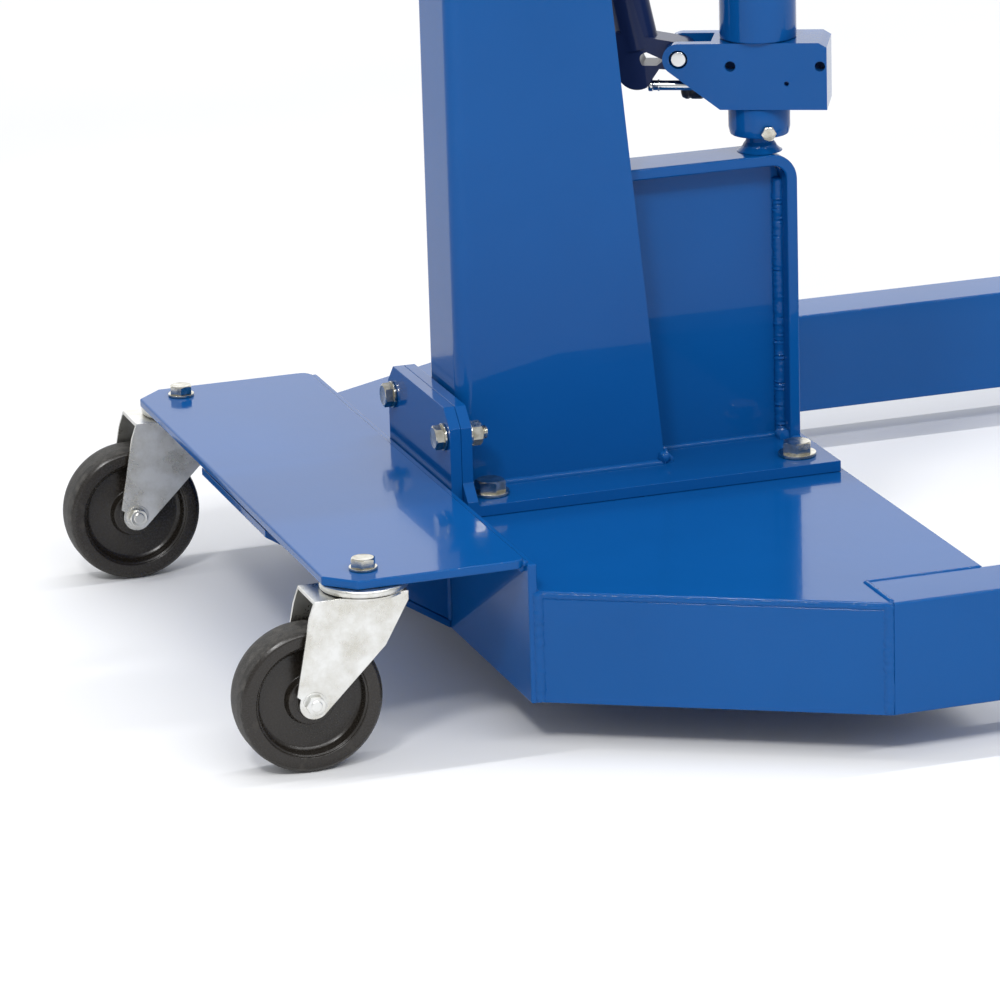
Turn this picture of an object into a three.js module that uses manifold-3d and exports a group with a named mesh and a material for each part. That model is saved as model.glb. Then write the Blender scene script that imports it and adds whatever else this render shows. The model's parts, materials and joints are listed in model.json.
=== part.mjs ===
// Mobile hydraulic workshop crane: a welded base on casters, a tapered column bolted to it,
// a pump unit with its ram on a ball post, and a boom with a sliding extension and a hook.
// Millimetres. X points forward along the legs, Y to the left, Z up, and the floor is z = 0.

import * as THREE from 'three';
import { mergeVertices } from 'three/addons/utils/BufferGeometryUtils.js';
import Module from 'manifold-3d';

const wasm = await Module();
wasm.setup();

// ---------- driving dimensions ----------

const GAP = 0.3;            // kept between pieces that touch
const RUN = 0.5;            // kept between pieces that turn or slide on each other

// heights above the floor
const deckTop = 138;        // top of the welded base and of the legs
const baseBottom = 40;      // underside of the base and of the legs

// caster plate, at the rear; x = 0 is its rear edge until the model is centred
const casterPlateLength = 170;
const casterPlateWidth = 630;
const casterPlateThickness = 8;
const casterPlateChamfer = 24;
const casterInset = 38;     // rear edge to the caster stem
const casterEdge = 30;      // side edge to the caster stem

// rear casters
const casterWheelDiameter = 125;
const casterWheelWidth = 36;
const casterTrail = 53;
const casterHeadroom = 23.5; // tyre to the fork's crown
const casterForkWall = 2.5;
const casterForkSide = 4;   // wheel to a fork cheek
const casterRaceDiameter = 75;
const casterRaceHeight = 6;
const casterAxleDiameter = 12;

// base
const sheet = 6;            // wall of the welded base
const rearWallThickness = 8;
const rearWallProud = 3;    // past the caster plate at each side
const rearWallDrop = 4;     // below the caster plate's top
const baseWidth = 930;      // over the legs
const flareLength = 258;    // the sides widen over this length behind the legs
const deckLength = 364;     // rear wall to front wall
const gussetSpacing = 204;
const gussetThickness = 8;
const gussetCoverThickness = 7;

// legs
const legWidth = 62;
const legWall = 4;
const legLength = 1150;     // beyond the flare
const frontWheelDiameter = 76;
const frontWheelWidth = 30;
const frontWheelSide = 2;   // wheel to a cheek
const frontAxleDiameter = 12;
const forkCheek = 6;
const forkReach = 62;       // leg end to the front wheel's axle

// rear bracket and foot plate
const bracketThickness = 10;
const bracketHeight = 94;
const bracketChamfer = 16;
const bracketBoltEdge = 15.5;
const bracketBoltSpacing = 147;
const bracketBoltHeight = 68;
const footThickness = 10;
const footBend = 13;        // outside radius of the bend
const footSetback = 5.6;    // behind the deck's front edge
const footBoltEdge = 32;    // side edge to bolt
const footBoltClear = 25.5; // column's side to bolt
const footBoltFrontEdge = 29;
const footBoltRearEdge = 18; // column's rear face to bolt
const boltDiameter = 16;
const bracketBoltDiameter = 12;
const casterBoltDiameter = 12;

// column
const columnRear = 202;
const columnWidth = 89;
const columnDepth = 190;    // at the foot
const columnTopDepth = 66;
const columnHeight = 1300;
const columnSheet = 5;
const columnBend = 13;

// pedestal
const pedestalWidth = 47;
const pedestalBar = 10;
const pedestalTop = 412;
const pedestalSetback = 7;  // behind the foot plate's front edge
const pedestalBend = 24;
const pedestalWebThickness = 6;

// pump unit, turned on its ball; its own x axis points from the lever to the front
const ramInset = 26.5;      // behind the pedestal's front
const pumpTurn = -26;       // degrees
const pumpLift = 43;        // above the pedestal
const pumpHeight = 60;
const pumpWidth = 58;
const pumpFront = 62.5;
const pumpChamfer = 7;
const cupDiameter = 55;
const cupHeight = 27;
const neckDiameter = 22;
const ballDiameter = 24;
const ballClear = 1.25;
const leverPinX = -68.3;
const leverPinHeight = 45;  // above the block's underside
const leverPinDiameter = 14.3;
const lugRadius = 14;
const clevisGap = 36;
const pistonDiameter = 9;
const pistonHeight = 18;
const pistonY = -10;
const knobDiameter = 22;
const knobLength = 21;
const knobY = 6.6;
const knobHeight = 13;
const socketLean = 12;      // degrees, towards the rear
const socketLength = 74;
const socketWall = 6;
const handleDiameter = 26;
const handleWall = 3;
const handleLength = 600;
const gripLength = 120;

// ram
const cylinderDiameter = 68;
const cylinderWall = 6;
const cylinderFloor = 12;
const cylinderLength = 500;
const glandHeight = 26;
const glandDepth = 18;      // of it, inside the cylinder
const rodDiameter = 36;
const rodRest = 100;        // end of the rod above the pump block
const ramPinDiameter = 20;
const ramPinDrop = 34;      // below the boom

// boom
const boomPivotX = 235;
const boomPivotDrop = 48.6; // below the column's top
const boomHeight = 100;
const boomSideClear = 4.5;  // to each side of the column
const boomWall = 5;
const boomTail = 42;
const boomLength = 860;     // forward of the pivot
const boomPinDiameter = 25;
const lugLength = 124;
const lugDrop = 60;         // below the boom
const lugThickness = 8;
const lugSlotBack = 12;     // travel that the slot leaves the ram pin, behind its rest place
const lugSlotFront = 28;
const lugSlotHeight = 38;
const extensionWall = 4;
const extensionClear = 1.5;
const extensionLength = 900;
const extensionShown = 150; // of the extension, forward of the boom, when it is pushed in
const screwDiameter = 12;
const screwInset = 60;      // boom's end to the locking screw

// hook
const hookReach = 42;       // extension's end to the hook's pin
const hookPinDrop = 24;     // below the middle of the extension
const hookPinDiameter = 14;
const linkWidth = 22;
const linkThickness = 12;
const linkLength = 58;
const hookThroat = 42;
const hookStock = 22;

// fasteners
const washer = 2.4;
const smallHex = 19;        // across flats
const largeHex = 24;

// ---------- colours ----------

const paint = (color) => new THREE.MeshStandardMaterial({ color, roughness: 0.3, metalness: 0.1 });
const metal = (color, roughness = 0.35) =>
  new THREE.MeshStandardMaterial({ color, roughness, metalness: 0.9 });
const BLUE = 0x104e96;
const NAVY = 0x1d2f5c;
const ZINC = 0xb9bbb4;
const STEEL = 0x9c9d98;
const CHROME = 0xd8dadb;
const BLACK = 0x33302d;
const matte = (color) => new THREE.MeshStandardMaterial({ color, roughness: 0.75, metalness: 0 });

// ---------- solids ----------

const rad = THREE.MathUtils.degToRad;

function solid(geometry) {
  const bare = geometry.clone();
  bare.deleteAttribute('normal');
  bare.deleteAttribute('uv');
  const merged = mergeVertices(bare, 1e-4);
  return new wasm.Manifold(new wasm.Mesh({
    numProp: 3,
    vertProperties: new Float32Array(merged.attributes.position.array),
    triVerts: new Uint32Array(merged.index.array),
  }));
}

function geometryOf(manifold) {
  const mesh = manifold.getMesh();
  const geometry = new THREE.BufferGeometry();
  geometry.setAttribute('position', new THREE.BufferAttribute(mesh.vertProperties, 3));
  geometry.setIndex(new THREE.BufferAttribute(mesh.triVerts, 1));
  return geometry;
}

const join = (...parts) => parts.reduce((sum, part) => sum.add(part));
const cut = (body, ...tools) => tools.reduce((rest, tool) => rest.subtract(tool), body);

// a box between two corners
function block(x0, x1, y0, y1, z0, z1) {
  const geometry = new THREE.BoxGeometry(x1 - x0, y1 - y0, z1 - z0);
  return solid(geometry.translate((x0 + x1) / 2, (y0 + y1) / 2, (z0 + z1) / 2));
}

// a round bar from (x, y, z) along an axis, with an optional smaller or larger far end
function bar(axis, x, y, z, length, radius, sides = 16, endRadius = radius) {
  const geometry = new THREE.CylinderGeometry(endRadius, radius, length, sides);
  geometry.translate(0, length / 2, 0);
  if (axis === 'x') geometry.rotateZ(-Math.PI / 2);
  if (axis === 'z') geometry.rotateX(Math.PI / 2);
  return solid(geometry.translate(x, y, z));
}

function outline(points) {
  return new THREE.Shape(points.map(([a, b]) => new THREE.Vector2(a, b)));
}

// a plan outline in X and Y, raised from z0 to z1
function raise(shape, z0, z1, curveSegments = 8) {
  const geometry = new THREE.ExtrudeGeometry(shape, {
    depth: z1 - z0, bevelEnabled: false, curveSegments,
  });
  return solid(geometry.translate(0, 0, z0));
}

// a side outline in X and Z, spread from y0 to y1
function spread(shape, y0, y1, curveSegments = 8) {
  const geometry = new THREE.ExtrudeGeometry(shape, {
    depth: y1 - y0, bevelEnabled: false, curveSegments,
  });
  return solid(geometry.rotateX(Math.PI / 2).translate(0, y1, 0));
}

// a front outline in Y and Z, run from x0 to x1
function run(shape, x0, x1, curveSegments = 8) {
  const geometry = new THREE.ExtrudeGeometry(shape, {
    depth: x1 - x0, bevelEnabled: false, curveSegments,
  });
  return solid(geometry.rotateX(Math.PI / 2).rotateZ(Math.PI / 2).translate(x0, 0, 0));
}

// a profile of [radius, height] turned about Z
function turn(profile, sides = 24) {
  const points = profile.map(([r, z]) => new THREE.Vector2(r, z));
  return solid(new THREE.LatheGeometry(points, sides).rotateX(Math.PI / 2));
}

function circlePath(x, y, radius) {
  return new THREE.Path().absarc(x, y, radius, 0, Math.PI * 2, true);
}

// a hexagon head or nut across its flats, standing along an axis
function hexagon(axis, x, y, z, height, flats) {
  return bar(axis, x, y, z, height, flats / Math.sqrt(3), 6);
}

// ---------- places that follow from the sizes ----------

const wheelRadius = casterWheelDiameter / 2;
const forkTop = casterWheelDiameter + casterHeadroom + casterForkWall;
const plateBottom = forkTop + 1 + casterRaceHeight;
const casterPlateTop = plateBottom + casterPlateThickness;
const casterSpacing = casterPlateWidth - 2 * casterEdge;

const rearWallX = casterPlateLength + GAP;
const deckRear = rearWallX + rearWallThickness + GAP;
const flareEnd = deckRear + flareLength;
const deckFront = deckRear + deckLength;
const rearHalf = casterPlateWidth / 2 + rearWallProud;
const legOuter = baseWidth / 2;
const legInner = legOuter - legWidth;
const legEnd = flareEnd + legLength;
const frontAxleX = legEnd + forkReach;
const frontAxleZ = frontWheelDiameter / 2;

const bracketRear = deckRear;
const bracketFront = bracketRear + bracketThickness;
const bracketWidth = bracketBoltSpacing + 2 * bracketBoltEdge;
const footRear = bracketFront + GAP;
const footBottom = deckTop + GAP;
const footTop = footBottom + footThickness;
const footFrontEdge = deckFront - footSetback;
const footBoltSpacing = columnWidth + 2 * footBoltClear;
const footWidth = footBoltSpacing + 2 * footBoltEdge;
const footBoltRear = columnRear + footBoltRearEdge;
const footBoltFront = footFrontEdge - footBoltFrontEdge;

const columnBottom = footTop + GAP;
const columnTop = columnBottom + columnHeight;
const columnFrontAt = (z) => columnRear + columnDepth
  - (columnDepth - columnTopDepth) * (z - columnBottom) / columnHeight;
const pedestalFront = footFrontEdge - pedestalSetback;

const ramX = pedestalFront - ramInset;
const pumpBottom = pedestalTop + pumpLift;
const pumpTop = pumpBottom + pumpHeight;
const leverPinZ = pumpBottom + leverPinHeight;
const pistonZ = pumpBottom + pistonHeight;
const knobZ = pumpBottom + knobHeight;

const boomPivotZ = columnTop - boomPivotDrop;
const boomWidth = columnWidth - 2 * columnSheet - 2 * boomSideClear;
const boomLow = boomPivotZ - boomHeight / 2;
const boomHigh = boomPivotZ + boomHeight / 2;
const boomEnd = boomPivotX + boomLength;
const ramPinHeight = boomLow - ramPinDrop;
const extensionTip = boomEnd + extensionShown;
const hookX = extensionTip + hookReach;
const hookPinZ = boomPivotZ - hookPinDrop;

// ---------- assembly helpers ----------

const crane = new THREE.Group();

function place(group, name, manifold, material) {
  const mesh = new THREE.Mesh(geometryOf(manifold), material);
  mesh.name = name;
  group.add(mesh);
}

const SIDES = [['right', -1], ['left', 1]];

// ---------- caster plate and casters ----------

function casterPlate() {
  const half = casterPlateWidth / 2;
  const front = casterPlateLength;
  const c = casterPlateChamfer;
  const shape = new THREE.Shape();
  shape.moveTo(0, -half + c);
  shape.lineTo(c, -half);
  shape.lineTo(front - c / 2, -half);
  shape.quadraticCurveTo(front, -half, front, -half + c / 2);
  shape.lineTo(front, half - c / 2);
  shape.quadraticCurveTo(front, half, front - c / 2, half);
  shape.lineTo(c, half);
  shape.lineTo(0, half - c);
  for (const [, side] of SIDES) {
    shape.holes.push(circlePath(casterInset, side * casterSpacing / 2, casterBoltDiameter / 2 + RUN));
  }
  place(crane, 'caster_plate', raise(shape, plateBottom, casterPlateTop, 6), paint(BLUE));
}

function casterFork(y) {
  const inside = casterWheelWidth / 2 + casterForkSide;
  const outside = inside + casterForkWall;
  const top = forkTop;
  const axleX = casterInset - casterTrail;
  const axleZ = wheelRadius;
  const cheek = new THREE.Shape();
  cheek.moveTo(casterInset + 31, top);
  cheek.lineTo(casterInset - 50, top);
  cheek.lineTo(casterInset - 55, top - 14);
  cheek.lineTo(axleX - 15, axleZ + 8);
  cheek.absarc(axleX, axleZ, 13, Math.PI * 0.86, Math.PI * 1.72, false);
  cheek.lineTo(casterInset + 10, top - 45);
  cheek.lineTo(casterInset + 31, top - 8);
  const cheeks = spread(cheek, y - outside, y + outside, 10);
  const crownRadius = casterRaceDiameter / 2 - 3;
  const hollow = block(-500, 500, y - inside, y + inside, -10, top - casterForkWall);
  const crown = bar('z', casterInset, y, top - casterForkWall, casterForkWall, crownRadius, 24);
  const stemHole = bar('z', casterInset, y, top - 20, 40, casterBoltDiameter / 2 + RUN, 16);
  const axleHole = bar('y', axleX, y - 60, axleZ, 120, casterAxleDiameter / 2 + GAP, 14);
  return cut(join(cut(cheeks, hollow), crown), stemHole, axleHole);
}

function wheelProfile(radius, width, bore, hub, web) {
  const half = width / 2;
  return [
    [bore, -half + 1], [hub, -half + 1], [hub + 1.5, -web], [radius * 0.73, -web],
    [radius * 0.75, -half], [radius - 4, -half], [radius, -half + 4],
    [radius, half - 4], [radius - 4, half], [radius * 0.75, half],
    [radius * 0.73, web], [hub + 1.5, web], [hub, half - 1], [bore, half - 1],
    [bore, -half + 1],
  ];
}

function casters() {
  for (const [label, side] of SIDES) {
    const y = side * casterSpacing / 2;
    const group = new THREE.Group();
    crane.add(group);
    const stem = casterBoltDiameter / 2;
    const race = cut(
      bar('z', casterInset, y, forkTop + RUN, casterRaceHeight + RUN - GAP,
        casterRaceDiameter / 2, 26),
      bar('z', casterInset, y, plateBottom - 30, 60, stem + GAP, 16));
    place(group, `caster_race_${label}`, race, metal(ZINC));
    const bolt = join(
      bar('z', casterInset, y, casterPlateTop + GAP, washer, casterBoltDiameter, 20),
      hexagon('z', casterInset, y, casterPlateTop + GAP + 2, 8, smallHex),
      bar('z', casterInset, y, plateBottom - 24, 24 + casterPlateThickness + 3, stem, 14),
      bar('z', casterInset, y, plateBottom - 20, 8, stem + 5, 14));
    place(group, `caster_bolt_${label}`, bolt, metal(ZINC));
    place(group, `caster_fork_${label}`, casterFork(y), metal(ZINC, 0.4));
    const axleX = casterInset - casterTrail;
    const wheel = turn(wheelProfile(wheelRadius, casterWheelWidth,
      casterAxleDiameter / 2 + RUN, wheelRadius * 0.3, 7), 32);
    place(group, `caster_wheel_${label}`,
      wheel.rotate([90, 0, 0]).translate([axleX, y, wheelRadius]), matte(BLACK));
    const reach = casterWheelWidth / 2 + casterForkSide + casterForkWall;
    const axle = join(
      bar('y', axleX, y - reach - 7, wheelRadius, 2 * reach + 14, casterAxleDiameter / 2 - 1, 14),
      hexagon('y', axleX, y - reach - 6.3, wheelRadius, 6, 17),
      hexagon('y', axleX, y + reach + GAP, wheelRadius, 6, 17));
    place(group, `caster_axle_${label}`, axle, metal(ZINC));
  }
}

// ---------- welded base ----------

function base() {
  const half = rearHalf;
  place(crane, 'rear_wall',
    block(rearWallX, rearWallX + rearWallThickness, -half, half, baseBottom, casterPlateTop - rearWallDrop),
    paint(BLUE));

  const deck = outline([
    [deckRear, -half], [flareEnd, -legOuter], [flareEnd, -legInner + GAP],
    [deckFront, -legInner + GAP], [deckFront, legInner - GAP], [flareEnd, legInner - GAP],
    [flareEnd, legOuter], [deckRear, half],
  ]);
  place(crane, 'base_deck', raise(deck, deckTop - sheet, deckTop), paint(BLUE));

  const wallTop = deckTop - sheet - GAP;
  const slope = (legOuter - half) / flareLength;
  const inset = sheet * Math.hypot(1, slope);
  for (const [label, side] of SIDES) {
    const wall = outline([
      [deckRear, side * half], [flareEnd, side * legOuter],
      [flareEnd, side * (legOuter - inset)], [deckRear, side * (half - inset)],
    ]);
    place(crane, `side_wall_${label}`, raise(wall, baseBottom, wallTop), paint(BLUE));
  }
  const frontHalf = legInner - GAP;
  place(crane, 'front_wall',
    block(deckFront - sheet, deckFront, -frontHalf, frontHalf, baseBottom, wallTop), paint(BLUE));

  const gussetRear = 6;
  const gussetTop = plateBottom - GAP;
  const gussetFront = rearWallX - GAP;
  const gusset = outline([
    [gussetRear, gussetTop], [gussetRear, gussetTop - 6], [gussetFront, baseBottom + 8],
    [gussetFront, gussetTop],
  ]);
  for (const [label, side] of SIDES) {
    const outer = side * gussetSpacing / 2;
    const inner = outer - side * gussetThickness;
    place(crane, `gusset_${label}`, spread(gusset, Math.min(outer, inner), Math.max(outer, inner)),
      paint(BLUE));
  }
  const drop = 6 + GAP * 1.5;
  const cover = outline([
    [gussetRear, gussetTop - drop], [gussetFront, baseBottom + 8 - GAP * 1.5],
    [gussetFront, baseBottom + 8 - GAP * 1.5 - gussetCoverThickness],
    [gussetRear, gussetTop - drop - gussetCoverThickness],
  ]);
  place(crane, 'gusset_cover', spread(cover, -gussetSpacing / 2, gussetSpacing / 2), paint(BLUE));
}

// ---------- legs and front wheels ----------

function leg(side) {
  const rear = flareEnd + GAP;
  const low = Math.min(side * legInner, side * legOuter);
  const high = Math.max(side * legInner, side * legOuter);
  const tube = cut(block(rear, legEnd, low, high, baseBottom, deckTop),
    block(rear - 1, legEnd - 8, low + legWall, high - legWall, baseBottom + legWall,
      deckTop - legWall));
  const middle = side * (legInner + legOuter) / 2;
  const gap = frontWheelWidth / 2 + frontWheelSide;
  const cheek = new THREE.Shape();
  cheek.moveTo(legEnd - 1, baseBottom + 4);
  cheek.lineTo(frontAxleX - 14, frontAxleZ - 14);
  cheek.absarc(frontAxleX, frontAxleZ, 16, -Math.PI * 0.7, Math.PI * 0.45, false);
  cheek.lineTo(legEnd - 1, deckTop - 20);
  const cheeks = cut(spread(cheek, middle - gap - forkCheek, middle + gap + forkCheek, 10),
    block(legEnd, legEnd + 300, middle - gap, middle + gap, -50, 300),
    bar('y', frontAxleX, middle - 60, frontAxleZ, 120, frontAxleDiameter / 2 + GAP, 14));
  return join(tube, cheeks);
}

function legs() {
  for (const [label, side] of SIDES) {
    const middle = side * (legInner + legOuter) / 2;
    place(crane, `leg_${label}`, leg(side), paint(BLUE));
    const wheel = turn(wheelProfile(frontWheelDiameter / 2, frontWheelWidth,
      frontAxleDiameter / 2 + RUN, 14, 9), 28);
    place(crane, `front_wheel_${label}`,
      wheel.rotate([90, 0, 0]).translate([frontAxleX, middle, frontAxleZ]), matte(BLACK));
    const reach = frontWheelWidth / 2 + frontWheelSide + forkCheek;
    const axle = join(
      bar('y', frontAxleX, middle - reach - 8, frontAxleZ, 2 * reach + 16,
        frontAxleDiameter / 2 - 1, 14),
      hexagon('y', frontAxleX, middle - reach - 7.3, frontAxleZ, 7, 18),
      hexagon('y', frontAxleX, middle + reach + GAP, frontAxleZ, 7, 18));
    place(crane, `front_axle_${label}`, axle, metal(ZINC));
  }
}

// ---------- rear bracket and foot plate ----------

function bracket() {
  const half = bracketWidth / 2;
  const top = deckTop + bracketHeight;
  const c = bracketChamfer;
  const face = outline([
    [-half, deckTop + GAP], [half, deckTop + GAP], [half, top - c], [half - c, top],
    [c - half, top], [-half, top - c],
  ]);
  const holes = SIDES.map(([, side]) => bar('x', bracketRear - 10, side * bracketBoltSpacing / 2,
    deckTop + bracketBoltHeight, 60, bracketBoltDiameter / 2 + RUN, 14));
  place(crane, 'rear_bracket', cut(run(face, bracketRear, bracketFront), ...holes), paint(BLUE));

  const bend = new THREE.Shape();
  bend.moveTo(footRear, top);
  bend.lineTo(footRear, footBottom + footBend);
  bend.absarc(footRear + footBend, footBottom + footBend, footBend, Math.PI, Math.PI * 1.5, false);
  bend.lineTo(footFrontEdge, footBottom);
  bend.lineTo(footFrontEdge, footTop);
  bend.lineTo(footRear + footBend, footTop);
  const inside = footBend - footThickness;
  bend.absarc(footRear + footBend, footBottom + footBend, inside, Math.PI * 1.5, Math.PI, true);
  bend.lineTo(footRear + footThickness, top);
  const wide = footWidth / 2;
  const trim = outline([
    [-wide, 0], [wide, 0], [wide, footTop + 4], [half, footTop + 18], [half, top - c],
    [half - c, top], [c - half, top], [-half, top - c], [-half, footTop + 18],
    [-wide, footTop + 4],
  ]);
  const floorHoles = [];
  for (const x of [footBoltRear, footBoltFront]) {
    for (const [, side] of SIDES) {
      floorHoles.push(bar('z', x, side * footBoltSpacing / 2, 0, 300, boltDiameter / 2 + RUN, 14));
    }
  }
  const plate = spread(bend, -wide, wide, 6).intersect(run(trim, 0, footFrontEdge + 50));
  place(crane, 'foot_plate', cut(plate, ...holes, ...floorHoles), paint(BLUE));
}

function bolts() {
  const z = deckTop + bracketBoltHeight;
  const grip = footRear + footThickness;
  for (const [label, side] of SIDES) {
    const y = side * bracketBoltSpacing / 2;
    const bolt = join(
      bar('x', bracketRear - GAP - washer, y, z, washer, bracketBoltDiameter, 20),
      hexagon('x', bracketRear - GAP - 10, y, z, 8, smallHex),
      bar('x', bracketRear - 4, y, z, grip - bracketRear + 20, bracketBoltDiameter / 2 - GAP, 14));
    place(crane, `bracket_bolt_${label}`, bolt, metal(ZINC));
    const nut = cut(
      join(bar('x', grip + GAP, y, z, washer, bracketBoltDiameter, 28),
        hexagon('x', grip + GAP + 2, y, z, 10, smallHex)),
      bar('x', grip - 5, y, z, 40, bracketBoltDiameter / 2, 14));
    place(crane, `bracket_nut_${label}`, nut, metal(ZINC));
  }
  for (const [where, x] of [['rear', footBoltRear], ['front', footBoltFront]]) {
    for (const [label, side] of SIDES) {
      const y = side * footBoltSpacing / 2;
      const bolt = join(
        bar('z', x, y, footTop + GAP, 3, 17, 24),
        hexagon('z', x, y, footTop + GAP + 2.5, 10.5, largeHex),
        bar('z', x, y, footBottom + GAP, footThickness + 4, boltDiameter / 2 - GAP, 14));
      place(crane, `foot_bolt_${where}_${label}`, bolt, metal(ZINC));
    }
  }
}

// ---------- column and pedestal ----------

function column() {
  const half = columnWidth / 2;
  const front = columnRear + columnDepth;
  const channel = new THREE.Shape();
  channel.moveTo(front, -half);
  channel.lineTo(front, -half + columnSheet);
  const innerBend = columnBend - columnSheet;
  channel.lineTo(columnRear + columnBend, -half + columnSheet);
  channel.absarc(columnRear + columnBend, -half + columnBend, innerBend,
    -Math.PI / 2, -Math.PI, true);
  channel.lineTo(columnRear + columnSheet, half - columnBend);
  channel.absarc(columnRear + columnBend, half - columnBend, innerBend, Math.PI, Math.PI / 2, true);
  channel.lineTo(front, half - columnSheet);
  channel.lineTo(front, half);
  channel.lineTo(columnRear + columnBend, half);
  channel.absarc(columnRear + columnBend, half - columnBend, columnBend,
    Math.PI / 2, Math.PI, false);
  channel.lineTo(columnRear, -half + columnBend);
  channel.absarc(columnRear + columnBend, -half + columnBend, columnBend,
    Math.PI, Math.PI * 1.5, false);
  const round = columnTopDepth / 2;
  const taper = new THREE.Shape();
  taper.moveTo(columnRear - 5, columnBottom);
  taper.lineTo(columnFrontAt(columnBottom), columnBottom);
  taper.lineTo(columnFrontAt(columnTop - round), columnTop - round);
  taper.quadraticCurveTo(columnFrontAt(columnTop), columnTop,
    columnFrontAt(columnTop) - round, columnTop);
  taper.lineTo(columnRear - 5, columnTop);
  const body = raise(channel, columnBottom, columnTop, 5).intersect(spread(taper, -half - 5, half + 5));
  // the rear face is cut away behind the boom, so that its tail can drop
  const window = block(columnRear - 10, columnRear + columnBend + 1, -half + columnSheet,
    half - columnSheet, boomPivotZ - boomHeight, columnTop + 10);
  const pinHole = bar('y', boomPivotX, -half - 20, boomPivotZ, columnWidth + 40,
    boomPinDiameter / 2 + GAP, 20);
  place(crane, 'column', cut(body, window, pinHole), paint(BLUE));
}

function pedestal() {
  const half = pedestalWidth / 2;
  const outer = pedestalBend;
  const inner = pedestalBend - pedestalBar;
  const cornerX = pedestalFront - outer;
  const cornerZ = pedestalTop - outer;
  const rearAt = (z) => columnFrontAt(z) + GAP;
  const strip = new THREE.Shape();
  strip.moveTo(rearAt(pedestalTop), pedestalTop);
  strip.lineTo(rearAt(pedestalTop - pedestalBar), pedestalTop - pedestalBar);
  strip.lineTo(cornerX, pedestalTop - pedestalBar);
  strip.absarc(cornerX, cornerZ, inner, Math.PI / 2, 0, true);
  strip.lineTo(pedestalFront - pedestalBar, columnBottom);
  strip.lineTo(pedestalFront, columnBottom);
  strip.lineTo(pedestalFront, cornerZ);
  strip.absarc(cornerX, cornerZ, outer, 0, Math.PI / 2, false);
  place(crane, 'pedestal_frame', spread(strip, -half, half, 6), paint(BLUE));

  const web = new THREE.Shape();
  const edge = GAP * 1.2;
  web.moveTo(rearAt(columnBottom), columnBottom);
  web.lineTo(pedestalFront - pedestalBar - edge, columnBottom);
  web.lineTo(pedestalFront - pedestalBar - edge, cornerZ);
  web.absarc(cornerX, cornerZ, inner - edge, 0, Math.PI / 2, false);
  web.lineTo(rearAt(pedestalTop - pedestalBar), pedestalTop - pedestalBar - edge);
  place(crane, 'pedestal_web',
    spread(web, -pedestalWebThickness / 2, pedestalWebThickness / 2, 6), paint(BLUE));

  const neck = neckDiameter / 2;
  const ball = ballDiameter / 2;
  const ballZ = pumpBottom - cupHeight + 6 - pedestalTop - GAP;
  const post = [[0, 0], [21, 0], [20, 2.5], [neck + 1.5, 9], [neck, 11]];
  const ballLow = Math.sqrt(ball * ball - neck * neck * 0.7);
  post.push([neck, ballZ - ballLow]);
  for (let i = 0; i <= 6; i += 1) {
    const angle = -Math.PI / 6 + (i / 6) * (Math.PI * 2 / 3);
    post.push([Math.cos(angle) * ball, ballZ + Math.sin(angle) * ball]);
  }
  post[post.length - 1][0] = 0;
  place(crane, 'ball_post', turn(post, 20).translate([ramX, 0, pedestalTop + GAP]), paint(BLUE));
}

// ---------- pump unit ----------

function pumpBlock(group) {
  const profile = new THREE.Shape();
  const front = pumpFront;
  profile.moveTo(-32, pumpBottom);
  profile.lineTo(front, pumpBottom);
  profile.lineTo(front, pumpTop - pumpChamfer * 0.6);
  profile.lineTo(front - pumpChamfer, pumpTop);
  profile.lineTo(leverPinX, leverPinZ + lugRadius);
  profile.absarc(leverPinX, leverPinZ, lugRadius, Math.PI / 2, Math.PI * 1.3, false);
  const half = pumpWidth / 2;
  const reach = pistonDiameter / 2 + GAP;
  const pocketDepth = 20;
  const portZ = pumpBottom + 39;
  const body = cut(spread(profile, -half, half, 12),
    block(-200, -40, -clevisGap / 2, clevisGap / 2, pumpBottom - 50, pumpTop + 50),
    bar('y', leverPinX, -half - 10, leverPinZ, pumpWidth + 20, leverPinDiameter / 2 + 1.2, 20),
    bar('y', -22.5, -half - 1, portZ, pocketDepth, 4.8, 14),
    bar('y', front - 6, -half - 1, portZ, pocketDepth, 4.6, 14),
    bar('y', 27, -half - 1, portZ - 15.5, 8, 2.2, 14),
    bar('x', -45, pistonY, pistonZ, 45, reach, 14),
    bar('x', -45, knobY, knobZ, 20, 4.5, 16));
  place(group, 'pump_block', body, paint(BLUE));

  const pin = bar('y', leverPinX, -half + 1, leverPinZ, pumpWidth - 2, leverPinDiameter / 2, 20);
  place(group, 'lever_pin', pin, metal(CHROME, 0.3));
}

function ballCup(group) {
  const r = cupDiameter / 2;
  const pocket = ballDiameter / 2 + ballClear;
  const top = pumpBottom - GAP;
  const bottom = pumpBottom - cupHeight;
  const cup = cut(bar('z', 0, 0, bottom, top - bottom, r - 1.3, 40, r),
    turn([[0, -2], [pocket, -2], [pocket, 9], [pocket * 0.85, 15.5], [pocket * 0.5, 19.5], [0, 21]],
      28).translate([0, 0, bottom]));
  place(group, 'ball_cup', cup, paint(BLUE));
  const screw = join(hexagon('x', r + 0.4, 0, 0, 5.5, 12), bar('x', r - 0.9, 0, 0, 4, 4, 16));
  const socket = new THREE.Group();
  socket.rotation.z = rad(-70);
  socket.position.z = pumpBottom - cupHeight + 5.5;
  group.add(socket);
  place(socket, 'cup_screw', screw, metal(ZINC));
}

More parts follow.
